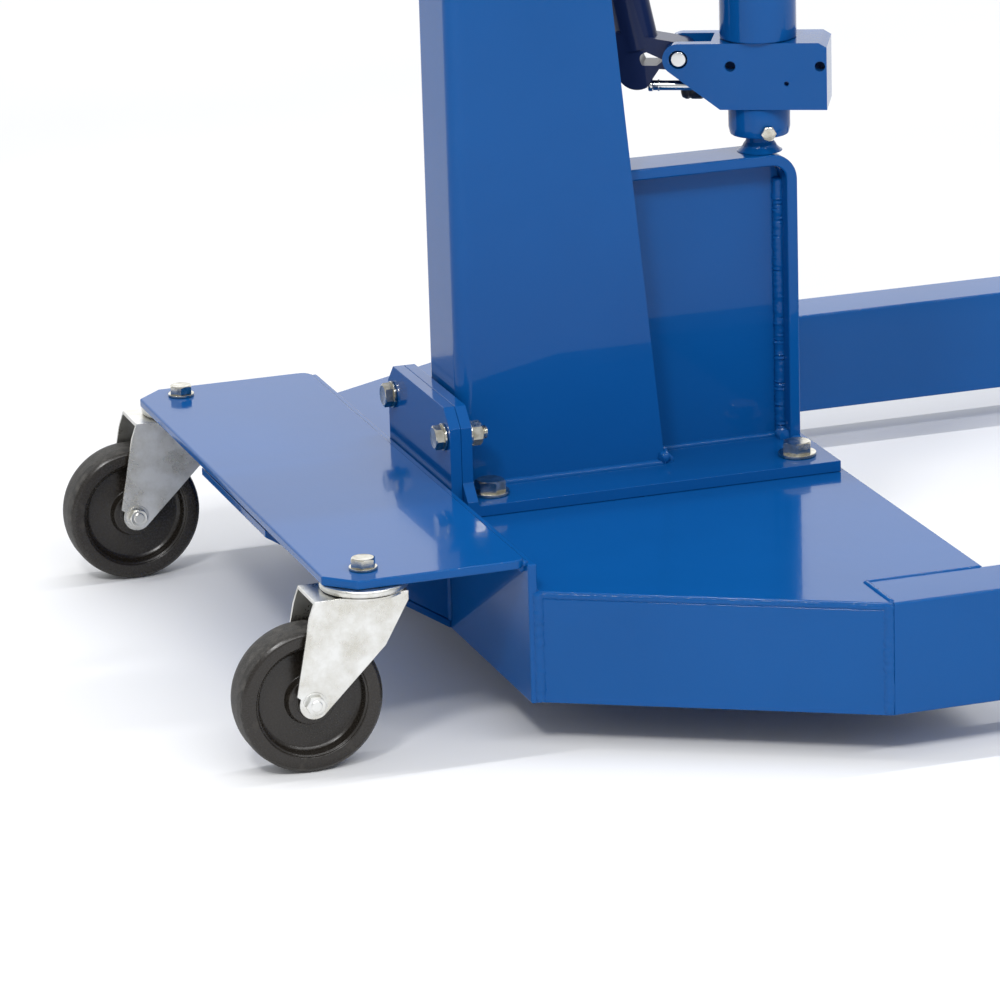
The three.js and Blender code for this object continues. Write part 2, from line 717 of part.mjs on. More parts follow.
// the lever turns on the pin; two cheeks reach down to the piston and a socket holds the handle
function lever(group) {
  const offset = -37;         // from the pin to the middle of the socket
  const half = clevisGap / 2 - 1.5;
  const lobeX = leverPinX + offset;
  const lobeZ = leverPinZ - 13;
  const body = new THREE.Shape();
  body.moveTo(leverPinX, leverPinZ + 12.5);
  body.lineTo(lobeX - 19, leverPinZ + 22);
  body.absarc(lobeX - 1, lobeZ + 1, 18, Math.PI, Math.PI * 1.66, false);
  body.lineTo(leverPinX - 18, lobeZ + 2);
  body.lineTo(leverPinX - 4, leverPinZ - 12);
  body.absarc(leverPinX, leverPinZ, 12.5, -Math.PI * 0.6, Math.PI / 2, false);
  const window = new THREE.Path();
  window.moveTo(leverPinX - 14, leverPinZ - 3);
  window.lineTo(leverPinX - 20, leverPinZ - 8);
  window.lineTo(lobeX + 4, leverPinZ - 8);
  window.quadraticCurveTo(lobeX - 2, leverPinZ + 2, lobeX + 8, leverPinZ + 4);
  body.holes.push(window);
  const lean = (part) => part.rotate([0, -socketLean, 0]).translate([lobeX - 1, 0, leverPinZ + 6]);
  const seat = 22;
  const socket = lean(bar('z', 0, 0, 0, socketLength, handleDiameter / 2 + socketWall, 24));
  const bore = lean(bar('z', 0, 0, seat, socketLength, handleDiameter / 2 + GAP, 20));
  const slot = block(lobeX - 12, leverPinX, pistonY - 6, pistonY + 6, leverPinZ - 60, leverPinZ - 12);
  const pinHole = bar('y', leverPinX, -60, leverPinZ, 120, leverPinDiameter / 2 + RUN, 20);
  const solidBody = cut(join(spread(body, -half, half, 8), socket), bore, slot, pinHole);
  place(group, 'pump_lever', solidBody, paint(NAVY));

  const handleFoot = seat + 1;
  const handle = lean(cut(bar('z', 0, 0, handleFoot, handleLength, handleDiameter / 2, 16),
    bar('z', 0, 0, seat, handleLength + 2, handleDiameter / 2 - handleWall, 16)));
  place(group, 'pump_handle', handle, metal(ZINC));
  const handleTop = handleFoot + handleLength;
  const gripStart = handleTop - gripLength + 8;
  const gripRadius = handleDiameter / 2 + 4;
  const inner = handleDiameter / 2 + GAP;
  const grip = lean(turn([
    [inner, gripStart], [gripRadius, gripStart], [gripRadius + 2, gripStart + 4],
    [gripRadius, gripStart + 9], [gripRadius, gripStart + gripLength - 4],
    [gripRadius - 4, gripStart + gripLength], [0, gripStart + gripLength],
    [0, handleTop + 1], [inner, handleTop + 1], [inner, gripStart],
  ], 16));
  place(group, 'handle_grip', grip, matte(BLACK));
}

function pumpSmallParts(group) {
  const rod = join(
    bar('x', leverPinX - 27, pistonY, pistonZ, 60, pistonDiameter / 2, 14),
    bar('x', leverPinX - 29, pistonY, pistonZ, 4, pistonDiameter / 2 + 1, 14));
  place(group, 'pump_piston', rod, metal(CHROME, 0.2));
  const knob = join(
    turn([[0, 0], [knobDiameter / 2 - 4, 0], [knobDiameter / 2 - 1.2, 1.6], [knobDiameter / 2, 5],
      [knobDiameter / 2, knobLength - 2], [knobDiameter / 2 - 2, knobLength], [0, knobLength]], 20)
      .rotate([0, 90, 0]).translate([-69.5, knobY, knobZ]),
    bar('x', -50, knobY, knobZ, 20, 3.8, 16));
  place(group, 'release_knob', knob, matte(BLACK));
}

function pumpUnit() {
  const group = new THREE.Group();
  group.position.x = ramX;
  group.rotation.z = rad(pumpTurn);
  crane.add(group);
  pumpBlock(group);
  ballCup(group);
  lever(group);
  pumpSmallParts(group);
  const bottom = pumpTop + GAP;
  const r = cylinderDiameter / 2;
  const tube = cut(bar('z', 0, 0, bottom, cylinderLength, r, 28),
    bar('z', 0, 0, bottom + cylinderFloor, cylinderLength, r - cylinderWall, 28));
  place(group, 'ram_cylinder', tube, paint(BLUE));
  const top = bottom + cylinderLength;
  const gland = turn([
    [rodDiameter / 2 + RUN, top - glandDepth], [r - cylinderWall - GAP, top - glandDepth],
    [r - cylinderWall - GAP, top + GAP], [r, top + GAP], [r + 2, top + 3],
    [r + 2, top + glandHeight - 6], [r - 4, top + glandHeight],
    [rodDiameter / 2 + RUN, top + glandHeight], [rodDiameter / 2 + RUN, top - glandDepth],
  ], 28);
  place(group, 'ram_gland', gland, metal(STEEL));
}

// ---------- ram rod ----------

function ramRod() {
  const start = pumpTop + rodRest;
  const eye = ramPinDiameter / 2 + 10;
  const eyeHalf = boomWidth / 2 - lugThickness - 3;
  const rod = cut(join(
    bar('z', ramX, 0, start, ramPinHeight - start - eye + 3, rodDiameter / 2, 24),
    bar('y', ramX, -eyeHalf, ramPinHeight, 2 * eyeHalf, eye, 24)),
  bar('y', ramX, -60, ramPinHeight, 120, ramPinDiameter / 2 + GAP, 20));
  place(crane, 'ram_rod', rod, metal(CHROME, 0.15));
  const reach = boomWidth / 2 + 4;
  const pin = join(
    bar('y', ramX, -reach, ramPinHeight, 2 * reach, ramPinDiameter / 2, 20),
    bar('y', ramX, -reach - 5, ramPinHeight, 5.5, lugSlotHeight / 2 + 4, 20),
    bar('y', ramX, reach - 0.5, ramPinHeight, 5.5, lugSlotHeight / 2 + 4, 20));
  place(crane, 'ram_pin', pin, metal(ZINC));
}

// ---------- boom ----------

function boom() {
  const half = boomWidth / 2;
  const low = boomLow;
  const high = boomHigh;
  const rear = boomPivotX - boomTail;
  const lug = new THREE.Shape();
  const lugTop = low + 2;
  const lugBottom = low - lugDrop;
  lug.moveTo(ramX - lugLength / 2 - 10, lugTop);
  lug.lineTo(ramX - lugLength / 2 + 12, lugBottom + 12);
  lug.quadraticCurveTo(ramX - lugLength / 2 + 16, lugBottom, ramX - lugLength / 2 + 30, lugBottom);
  lug.lineTo(ramX + lugLength / 2 - 2, lugBottom);
  lug.quadraticCurveTo(ramX + lugLength / 2 + 10, lugBottom, ramX + lugLength / 2 + 14, lugBottom + 12);
  lug.lineTo(ramX + lugLength / 2 + 30, lugTop);
  const slotRadius = lugSlotHeight / 2;
  const slot = new THREE.Shape();
  slot.absarc(ramX + lugSlotFront, ramPinHeight, slotRadius, -Math.PI / 2, Math.PI / 2, false);
  slot.absarc(ramX - lugSlotBack, ramPinHeight, slotRadius, Math.PI / 2, Math.PI * 1.5, false);
  const lugs = cut(spread(lug, -half, half),
    block(0, 2000, -half + lugThickness, half - lugThickness, 0, low - GAP),
    spread(slot, -half - 10, half + 10, 12));
  const tube = cut(block(rear, boomEnd, -half, half, low, high),
    block(rear + 60, boomEnd + 10, -half + boomWall, half - boomWall, low + boomWall,
      high - boomWall));
  const screwX = boomEnd - screwInset;
  const screwHole = bar('z', screwX, 0, high - 20, 40, screwDiameter / 2 + RUN, 14);
  const collar = bar('z', screwX, 0, high - 1, 14, 15, 20);
  const body = cut(join(tube, collar, lugs), screwHole,
    bar('y', boomPivotX, -half - 20, boomPivotZ, boomWidth + 40, boomPinDiameter / 2 + RUN, 20));
  place(crane, 'boom', body, paint(BLUE));

  const reach = columnWidth / 2 + 3;
  const pin = join(
    bar('y', boomPivotX, -reach - 4, boomPivotZ, 2 * reach + 8, boomPinDiameter / 2, 20),
    hexagon('y', boomPivotX, -reach - 12, boomPivotZ, 14.7 - 2, 36),
    hexagon('y', boomPivotX, reach - 2.5, boomPivotZ, 14.5, 36));
  place(crane, 'boom_pin', pin, metal(ZINC));
}

function extension() {
  const half = boomWidth / 2 - boomWall - extensionClear;
  const tall = boomHeight / 2 - boomWall - extensionClear;
  const rear = extensionTip - extensionLength;
  const z = boomPivotZ;
  const tube = cut(block(rear, extensionTip, -half, half, z - tall, z + tall),
    block(rear - 5, extensionTip - 6, -half + extensionWall, half - extensionWall,
      z - tall + extensionWall, z + tall - extensionWall));
  const ear = new THREE.Shape();
  ear.moveTo(extensionTip - 1, z - tall + 6);
  ear.lineTo(hookX, hookPinZ - 15);
  ear.absarc(hookX, hookPinZ, 15, -Math.PI / 2, Math.PI * 0.3, false);
  ear.lineTo(extensionTip - 1, z + tall - 8);
  const earHalf = linkThickness / 2 + 1.5;
  const ears = cut(spread(ear, -earHalf - 8, earHalf + 8, 10),
    block(extensionTip, extensionTip + 200, -earHalf, earHalf, z - 200, z + 200),
    bar('y', hookX, -60, hookPinZ, 120, hookPinDiameter / 2 + GAP, 16));
  place(crane, 'boom_extension', join(tube, ears), paint(BLUE));
  const pin = join(
    bar('y', hookX, -earHalf - 12, hookPinZ, 2 * earHalf + 24, hookPinDiameter / 2, 16),
    hexagon('y', hookX, -earHalf - 16, hookPinZ, 7.5, 22),
    hexagon('y', hookX, earHalf + 8.5, hookPinZ, 7.5, 22));
  place(crane, 'hook_pin', pin, metal(ZINC));

  const screwX = boomEnd - screwInset;
  const screw = join(
    bar('z', screwX, 0, z + tall + GAP, boomHigh - z - tall + 34, screwDiameter / 2, 14),
    bar('y', screwX, -34, boomHigh + 34, 68, 5, 16));
  place(crane, 'extension_screw', screw, metal(ZINC));
}

// ---------- hook ----------

function hook() {
  const eyeRadius = linkWidth / 2 + 3;
  const linkHalf = linkThickness / 2;
  const bottom = hookPinZ - linkLength;
  const link = cut(join(
    bar('y', hookX, -linkHalf, hookPinZ, linkThickness, eyeRadius, 20),
    block(hookX - linkWidth / 2, hookX + linkWidth / 2, -linkHalf, linkHalf, bottom + 8, hookPinZ),
    bar('z', hookX, 0, bottom, 22, 15, 20)),
  bar('y', hookX, -40, hookPinZ, 80, hookPinDiameter / 2 + RUN, 16),
  bar('z', hookX, 0, bottom - 10, 24, 7.5, 16));
  place(crane, 'hook_link', link, metal(STEEL));

  // the hook hangs from its shank and curls forward, up to its tip
  const throat = hookThroat / 2;
  const stock = hookStock / 2;
  const centreZ = bottom - 26 - throat - stock;
  const mid = throat + stock;
  const arcPoints = [];
  for (let i = 0; i <= 20; i += 1) {
    const angle = rad(100 + (i / 20) * 250);
    arcPoints.push(new THREE.Vector3(Math.cos(angle) * mid, 0, Math.sin(angle) * mid));
  }
  const curve = new THREE.CatmullRomCurve3(arcPoints);
  const section = new THREE.Shape().absarc(0, 0, stock, 0, Math.PI * 2, false);
  const bow = solid(new THREE.ExtrudeGeometry(section, {
    steps: 14, extrudePath: curve, bevelEnabled: false, curveSegments: 5,
  })).translate([hookX, 0, centreZ]);
  const tipAngle = rad(350);
  const tip = solid(new THREE.SphereGeometry(stock * 1.02, 12, 8))
    .translate([hookX + Math.cos(tipAngle) * mid, 0, centreZ + Math.sin(tipAngle) * mid]);
  const neckZ = centreZ + mid;
  const body = join(bow, tip,
    bar('z', hookX, 0, neckZ - stock, bottom - 2 - neckZ + stock, 12, 16),
    bar('z', hookX, 0, bottom - 8, 14, 7, 16));
  place(crane, 'hook', body, metal(STEEL));

  // the latch hangs in front of the neck and rests against the inside of the tip
  const latch = outline([
    [13.4, 27], [17, 28.5], [19.6, 25], [20, -4], [17, -5], [15, 20],
  ].map(([x, z]) => [hookX + x, centreZ + z]));
  place(crane, 'hook_latch', spread(latch, -4, 4), metal(ZINC));
}

// ---------- assembly ----------

casterPlate();
casters();
base();
legs();
bracket();
bolts();
column();
pedestal();
pumpUnit();
ramRod();
boom();
extension();
hook();

// the finished model stands centred on its own box
const bounds = new THREE.Box3().setFromObject(crane);
crane.position.set(
  -(bounds.min.x + bounds.max.x) / 2, -(bounds.min.y + bounds.max.y) / 2, -bounds.min.z);

export default crane;
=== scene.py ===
# %% [markdown]
# A mobile workshop crane lifts engines and gearboxes. A flared base of welded sheet rolls on two
# swivel casters and two small front wheels. A tapered column is bolted to it, a pump unit with
# its ram stands on a ball in front of the column, and the ram lifts a boom with a hook.
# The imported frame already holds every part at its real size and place, so this file only
# gives the parts their surface: eased edges, weld beads, turned and pressed metal, and paint.

# %%
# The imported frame
import json
import math
import random

import bmesh
import bpy
from mathutils import Matrix, Vector


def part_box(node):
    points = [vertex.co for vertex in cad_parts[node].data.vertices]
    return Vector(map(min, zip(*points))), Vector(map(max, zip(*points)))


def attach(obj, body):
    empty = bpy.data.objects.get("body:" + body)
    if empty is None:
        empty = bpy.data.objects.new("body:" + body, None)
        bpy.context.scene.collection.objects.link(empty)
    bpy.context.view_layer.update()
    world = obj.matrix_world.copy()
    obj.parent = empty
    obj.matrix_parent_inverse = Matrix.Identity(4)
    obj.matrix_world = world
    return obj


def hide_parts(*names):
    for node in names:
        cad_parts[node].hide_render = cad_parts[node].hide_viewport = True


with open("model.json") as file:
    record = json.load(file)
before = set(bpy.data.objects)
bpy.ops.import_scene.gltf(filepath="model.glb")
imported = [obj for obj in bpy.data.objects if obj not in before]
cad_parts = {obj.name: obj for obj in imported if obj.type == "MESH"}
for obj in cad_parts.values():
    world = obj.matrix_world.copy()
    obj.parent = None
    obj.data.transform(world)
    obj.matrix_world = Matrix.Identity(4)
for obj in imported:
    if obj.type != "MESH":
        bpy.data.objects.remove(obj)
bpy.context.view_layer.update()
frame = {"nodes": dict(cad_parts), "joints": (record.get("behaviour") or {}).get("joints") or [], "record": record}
nodes = frame["nodes"]
joints = {joint["name"]: joint for joint in frame["joints"]}
bodies = frame["record"]["behaviour"]["bodies"]
body_of = {node: body for body, members in bodies.items() for node in members}
slot_of = {part["node"]: part["material_slot"] for part in frame["record"]["subparts"]}
MM = 0.001
X, Y, Z = Vector((1, 0, 0)), Vector((0, 1, 0)), Vector((0, 0, 1))
SIDES = ("right", "left")

# %% [markdown]
# The camera is a long lens far away, which keeps the upright edges almost parallel, as a
# catalogue picture does. Its place could be typed as a rotation in degrees, but Euler angles
# are easy to mix up. Here the three directions of the camera are worked out first: where it
# looks, what is to its right and what is above it. They become the columns of its matrix.

# %%
# Camera
LENS = 192.1
CAMERA_PLACE = Vector((-1.9586, -4.313, 1.509))
YAW, PITCH, ROLL = math.radians(18.05), math.radians(17.04), math.radians(-1.73)

ahead = Vector((math.sin(YAW) * math.cos(PITCH), math.cos(YAW) * math.cos(PITCH), -math.sin(PITCH)))
level = Vector((math.cos(YAW), -math.sin(YAW), 0))
above = level.cross(ahead)
camera_right = level * math.cos(ROLL) + above * math.sin(ROLL)
camera_up = above * math.cos(ROLL) - level * math.sin(ROLL)

lens = bpy.data.cameras.new("camera")
lens.lens = LENS
lens.clip_end = 60
camera = bpy.data.objects.new("camera", lens)
bpy.context.scene.collection.objects.link(camera)
turn = Matrix((camera_right, camera_up, -ahead)).transposed().to_4x4()
camera.matrix_world = Matrix.Translation(CAMERA_PLACE) @ turn
bpy.context.scene.camera = camera
print("camera looks along", tuple(round(v, 3) for v in ahead))

# %% [markdown]
# Materials are sums on surfaces: a mask times a colour, one minus a mask. Written as nodes and
# links, such a sum is long and hard to read. A small class that holds one socket and knows +, -
# and * lets Python write the same nodes, so the sum can be read as a sum. Colours do not go
# through it, because a Math node turns a colour grey; they go through Mix nodes.

# %%
# A socket that can be used in sums
class Value:
    def __init__(self, finish, socket):
        self.finish = finish
        self.socket = socket

    def __add__(self, other):
        return self.finish.maths("ADD", self, other)

    __radd__ = __add__

    def __sub__(self, other):
        return self.finish.maths("SUBTRACT", self, other)

    def __rsub__(self, other):
        return self.finish.maths("SUBTRACT", other, self)

    def __mul__(self, other):
        return self.finish.maths("MULTIPLY", self, other)

    __rmul__ = __mul__


# %%
# One finish: a material, its shader and the nodes that feed it
class Finish:
    def __init__(self, name, **constants):
        self.material = bpy.data.materials.new(name)
        self.material.use_nodes = True
        self.tree = self.material.node_tree
        self.shader = self.tree.nodes["Principled BSDF"]
        for socket, value in constants.items():
            self.shader.inputs[socket.replace("_", " ")].default_value = value

    def node(self, kind, settings=None, sockets=None, out=0):
        made = self.tree.nodes.new("ShaderNode" + kind)
        for key, value in (settings or {}).items():
            if key == "stops":
                for element, (place, shade) in zip(made.color_ramp.elements, value):
                    element.position = place
                    element.color = (shade, shade, shade, 1)
            else:
                setattr(made, key, value)
        for key, value in (sockets or {}).items():
            self.feed(made.inputs[key], value)
        return Value(self, made.outputs[out])

    def feed(self, socket, value):
        if isinstance(value, Value):
            self.tree.links.new(value.socket, socket)
        else:
            socket.default_value = value

    def set(self, name, value):
        self.feed(self.shader.inputs[name], value)

    def maths(self, operation, a, b):
        return self.node("Math", {"operation": operation}, {0: a, 1: b})

    def mix(self, mask, first, second):
        colours = {0: mask, 6: (*first, 1), 7: (*second, 1)}
        return self.node("Mix", {"data_type": "RGBA"}, colours, out=2)

    def place(self):
        return self.node("TexCoord", out="Object")

    def noise(self, scale, detail=2.0, rough=0.5):
        sockets = {"Vector": self.place(), "Scale": scale, "Detail": detail, "Roughness": rough}
        return self.node("TexNoise", None, sockets)

    def step(self, value, low, high):
        sockets = {"Fac": value}
        return self.node("ValToRGB", {"stops": ((low, 0), (high, 1))}, sockets)

    def bump(self, height, depth, strength):
        sockets = {"Height": height, "Distance": depth, "Strength": strength}
        self.set("Normal", self.node("Bump", None, sockets))


print("finishes can be written as sums")

# %% [markdown]
# The blue is a wet enamel on sheet steel. It has three scales: a slow change of depth over
# hundreds of millimetres, where the paint is thicker or thinner; the orange peel, a bump a few
# millimetres across; and fine specks of dust that are a little rougher. An image could hold all
# that, but noise on object coordinates has no seams and no resolution. The clear skin on top is
# the shader's own coat, thin and smooth, with the same weight everywhere.

# %%
# Blue enamel and the dark enamel of the pump lever
CLOUD, PEEL, SLOW_PEEL, DUST = 5.0, 260.0, 60.0, 420.0


def enamel(name, deep, light, gloss):
    finish = Finish(name, IOR=1.5, Specular_IOR_Level=0.06, Coat_Weight=0.28, Coat_Roughness=0.02,
                    Coat_IOR=1.5)
    cloud = finish.noise(CLOUD, 3.0)
    speck = finish.step(finish.noise(DUST, 2.0), 0.66, 0.74)
    finish.set("Base Color", finish.mix(cloud, deep, light))
    finish.set("Roughness", gloss + cloud * 0.06 + speck * 0.08)
    peel = finish.noise(PEEL, 2.0) + finish.noise(SLOW_PEEL, 1.0) * 0.8
    finish.bump(peel, 0.00022, 0.35)
    return finish.material


finishes = {
    "blue_paint": enamel("blue enamel", (0.0018, 0.068, 0.25), (0.0038, 0.092, 0.325), 0.1),
    "navy_paint": enamel("dark enamel", (0.006, 0.014, 0.055), (0.012, 0.024, 0.085), 0.28),
}
print("enamels made")

# %% [markdown]
# Zinc plating is a bright grey metal with a soft bloom: the bath leaves clouds and faint yellow
# stains, and handling makes it uneven. Bolts are smaller and darker, machined steel and hard
# chrome have less cloud, and forged steel is rough and nearly black. All are one metal shader,
# so one function makes them, and the numbers that differ stand in a table.

# %%
# Plated, machined and forged steel
def metal(name, dark, light, rough, cloud_scale, uneven, dent):
    finish = Finish(name, Metallic=1.0)
    cloud = finish.noise(cloud_scale, 4.0, 0.6)
    fine = finish.noise(cloud_scale * 14, 2.0)
    finish.set("Base Color", finish.mix(finish.step(cloud, 0.36, 0.64), dark, light))
    finish.set("Roughness", rough + (cloud - 0.5) * uneven + (fine - 0.5) * uneven * 0.6)
    finish.bump(cloud + fine * 0.25, dent, 0.5)
    return finish.material


# slot: name, dark, light, roughness, scale of the clouds, unevenness, depth of the dents in m
METALS = {
    "zinc_plate": ("zinc plating", (0.60, 0.585, 0.53), (0.80, 0.80, 0.775), 0.30, 38, 0.22, 0.0003),
    "bolt_zinc": ("bolt zinc", (0.42, 0.395, 0.32), (0.66, 0.645, 0.58), 0.2, 120, 0.2, 0.00025),
    "dark_steel": ("machined steel", (0.30, 0.30, 0.30), (0.44, 0.44, 0.43), 0.32, 60, 0.16, 0.0002),
    "chrome": ("hard chrome", (0.55, 0.56, 0.56), (0.66, 0.67, 0.67), 0.12, 24, 0.05, 0.00004),
    "forged_steel": ("forged steel", (0.075, 0.07, 0.066), (0.17, 0.165, 0.16), 0.5, 90, 0.25, 0.0009),
}
for slot, recipe in METALS.items():
    finishes[slot] = metal(*recipe)
print("metals made")

# %% [markdown]
# The wheels are moulded in a hard brown-black nylon. Their sides keep the sheen of the mould,
# with a few pale rubs, and the tread is scuffed grey by the floor. The tread could be masked by
# its distance from the axle, but four wheels have four axles. Giving the tread faces a second
# material slot on the same piece is simpler and rides along with the wheel.

# %%
# Wheel nylon, its scuffed tread, and black plastic
def moulded(name, dark, light, rough, scale, low, high, dent):
    finish = Finish(name, IOR=1.48)
    cloud = finish.noise(scale, 5.0, 0.65)
    rub = finish.step(cloud, low, high)
    grain = finish.noise(scale * 9, 2.0)
    finish.set("Base Color", finish.mix(rub, dark, light))
    finish.set("Roughness", rough + rub * 0.2 + (grain - 0.5) * 0.12)
    finish.bump(grain + rub * 0.5, dent, 0.6)
    return finish.material


finishes["wheel_tyre"] = moulded(
    "wheel nylon", (0.0165, 0.0135, 0.0105), (0.052, 0.045, 0.036), 0.27, 55, 0.62, 0.8, 0.00014)
finishes["black_plastic"] = moulded(
    "black plastic", (0.012, 0.012, 0.013), (0.03, 0.03, 0.03), 0.42, 90, 0.5, 0.75, 0.0003)
tread_finish = moulded(
    "scuffed tread", (0.02, 0.018, 0.0155), (0.085, 0.079, 0.07), 0.55, 160, 0.44, 0.7, 0.0008)
print("plastics made")

# %% [markdown]
# Every piece ends in the same way: the bmesh becomes a mesh, its faces are shaded smooth with
# creases kept where it really turns, it is attached to the body it moves with, it takes the
# finish of its slot or the one it is given, and the part it stands for is hidden. One function
# does that, so that none of these steps can be forgotten.

# %%
# From bmesh to a finished piece
CREASE, BOLT_CREASE, BEAD_CREASE = 34, 28, 60


def settle(name, shape, body, slot, stands_for=(), crease=CREASE, more=(), finish=None):
    """the finished object; faces that meet at more than crease degrees keep a sharp edge"""
    mesh = bpy.data.meshes.new(name)
    shape.to_mesh(mesh)
    shape.free()
    for polygon in mesh.polygons:
        polygon.use_smooth = True
    if crease:
        mesh.set_sharp_from_angle(angle=math.radians(crease))
    for layer in (finishes[finish or slot], *more):
        mesh.materials.append(layer)
    piece = bpy.data.objects.new(name, mesh)
    bpy.context.scene.collection.objects.link(piece)
    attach(piece, body)
    if stands_for:
        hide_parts(*stands_for)
    return piece


def middle(node):
    low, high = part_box(node)
    return (low + high) / 2


def standing(point, axis):
    """a matrix that stands a shape made along Z on a point, with Z turned to an axis"""
    return Matrix.Translation(point) @ Vector(axis).to_track_quat("Z", "Y").to_matrix().to_4x4()


print("pieces can be settled")

# %% [markdown]
# A sheared or sawn edge is never sharp: it is eased by the grinder and rounded by the paint, and
# that thin round edge is what catches the light. Modelling it by hand on fifty sheets would
# take long. Instead the part's own solid is copied, its triangles are merged back into flat
# faces, and a live bevel rounds every edge by a weight. Long edges of a rolled tube get the
# full radius and the others a small one. Weighted normals keep the flat faces truly flat.

# %%
# Sheet and tube with eased edges
LONG_EDGE = 350 * MM
FLAT_BELOW, SHARP_FROM = math.radians(0.5), math.radians(32)


def eased(node, radius, long_radius=None):
    """the part's own solid with its edges rounded, the long ones by long_radius if it is given"""
    shape = bmesh.new()
    shape.from_mesh(nodes[node].data)
    bmesh.ops.remove_doubles(shape, verts=shape.verts, dist=1e-6)
    bmesh.ops.dissolve_limit(shape, angle_limit=FLAT_BELOW, verts=shape.verts, edges=shape.edges)
    widest = long_radius or radius
    weight = shape.edges.layers.float.new("bevel_weight_edge")
    for edge in shape.edges:
        if len(edge.link_faces) == 2 and edge.calc_face_angle() > SHARP_FROM:
            edge[weight] = 1 if edge.calc_length() > LONG_EDGE else radius / widest
    piece = settle(node + "_eased", shape, body_of[node], slot_of[node], [node], crease=None)
    bevel = piece.modifiers.new("eased edges", "BEVEL")
    bevel.limit_method = "WEIGHT"
    bevel.width = widest
    bevel.segments = 3
    flat = piece.modifiers.new("flat faces", "WEIGHTED_NORMAL")
    flat.keep_sharp = True


for node in ("caster_plate", "rear_wall", "base_deck", "front_wall", "rear_bracket", "foot_plate",
             "pedestal_frame", "column"):
    eased(node, 1.6 * MM)
for side in SIDES:
    eased(f"side_wall_{side}", 1.4 * MM)
    eased(f"gusset_{side}", 1.0 * MM)
    eased(f"leg_{side}", 1.0 * MM, 5 * MM)
    eased(f"caster_fork_{side}", 0.7 * MM)
eased("gusset_cover", 1.0 * MM)
eased("pedestal_web", 0.8 * MM)
eased("pump_block", 0.9 * MM)
eased("pump_lever", 1.6 * MM)
eased("boom", 1.2 * MM, 6 * MM)
eased("boom_extension", 1.0 * MM, 4 * MM)
eased("hook_link", 1.8 * MM)
eased("hook_latch", 0.5 * MM)
eased("extension_screw", 0.8 * MM)
print("sheets and tubes eased")

# %% [markdown]
# A weld bead is a row of small frozen pools, each lapped over the last. A smooth tube would read
# as a cord, and a bump map would leave its outline straight. Here a ring is extruded in short
# steps along the seam and made wider and narrower at each step, with a little seeded chance,
# so the ripples are in the mesh. Half of the bead is buried in the corner that it fills.

# %%
# Weld beads
RIPPLE = 3.6 * MM
END_SIZE = 0.55
UNEVEN = 0.05
chance = random.Random(7)


def edges_of(verts):
    """every edge that ends on one of the vertices"""
    return list(dict.fromkeys(edge for vert in verts for edge in vert.link_edges))


def extruded(shape, rim):
    """extrudes a rim once and gives its new vertices and its new edges"""
    made = bmesh.ops.extrude_edge_only(shape, edges=rim)["geom"]
    verts = [item for item in made if isinstance(item, bmesh.types.BMVert)]
    kept = set(verts)
    edges = [item for item in made if isinstance(item, bmesh.types.BMEdge)]
    return verts, [edge for edge in edges if kept.issuperset(edge.verts)]


def bead(shape, start, end, radius, swell=0.13):
    """a rippled bead from start to end; swell is how much wider every second step is"""
    start, end = Vector(start), Vector(end)
    along = end - start
    steps = max(4, 2 * round(along.length / RIPPLE))
    ring = bmesh.ops.create_circle(
        shape, cap_ends=True, radius=radius * END_SIZE, segments=10, matrix=standing(start, along))
    rim = edges_of(ring["verts"])
    size, centre = END_SIZE, start
    for step in range(1, steps + 1):
        verts, rim = extruded(shape, rim)
        taper = END_SIZE if step == steps else 1
        wide = taper * (1 + swell * (step % 2) + chance.uniform(-UNEVEN, UNEVEN))
        grow = Matrix.Scale(wide / size, 4)
        sway = Vector([chance.uniform(-UNEVEN, UNEVEN) * radius for _ in range(3)])
        here = start + along * (step / steps) + sway
        bmesh.ops.transform(shape, matrix=Matrix.Translation(-centre), verts=verts)
        bmesh.ops.transform(shape, matrix=Matrix.Translation(here) @ grow, verts=verts)
        size, centre = wide, here
    bmesh.ops.contextual_create(shape, geom=rim)


def welds(name, runs):
    """one piece on the base from several runs: each is (start, end, radius, swell if not usual)"""
    shape = bmesh.new()
    for run in runs:
        one = bmesh.new()
        bead(one, *run)
        bmesh.ops.recalc_face_normals(one, faces=one.faces)
        laid = bpy.data.meshes.new("run")
        one.to_mesh(laid)
        one.free()
        shape.from_mesh(laid)
        bpy.data.meshes.remove(laid)
    piece = settle(name, shape, "frame", "blue_paint", crease=BEAD_CREASE)
    print(name, len(runs), "runs,", len(piece.data.polygons), "faces")


def mirrored(runs):
    """the same runs on the other side of the middle plane as well"""
    flip = Matrix.Diagonal((1, -1, 1))
    return runs + [(flip @ Vector(a), flip @ Vector(b), *rest) for a, b, *rest in runs]


# %%
# Where the base is welded
deck_low, deck_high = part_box("base_deck")
wall_low, wall_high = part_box("rear_wall")
plate_low, plate_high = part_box("caster_plate")
side_low, side_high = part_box("side_wall_right")
bottom, top = side_low.z, deck_high.z
rear_x, flare_x = wall_high.x, side_high.x
rear_y, outer_y = wall_low.y, deck_low.y
inner_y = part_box("leg_right")[1].y
DECK_SEAM_END, PLATE_SEAM_END = -95 * MM, -110 * MM

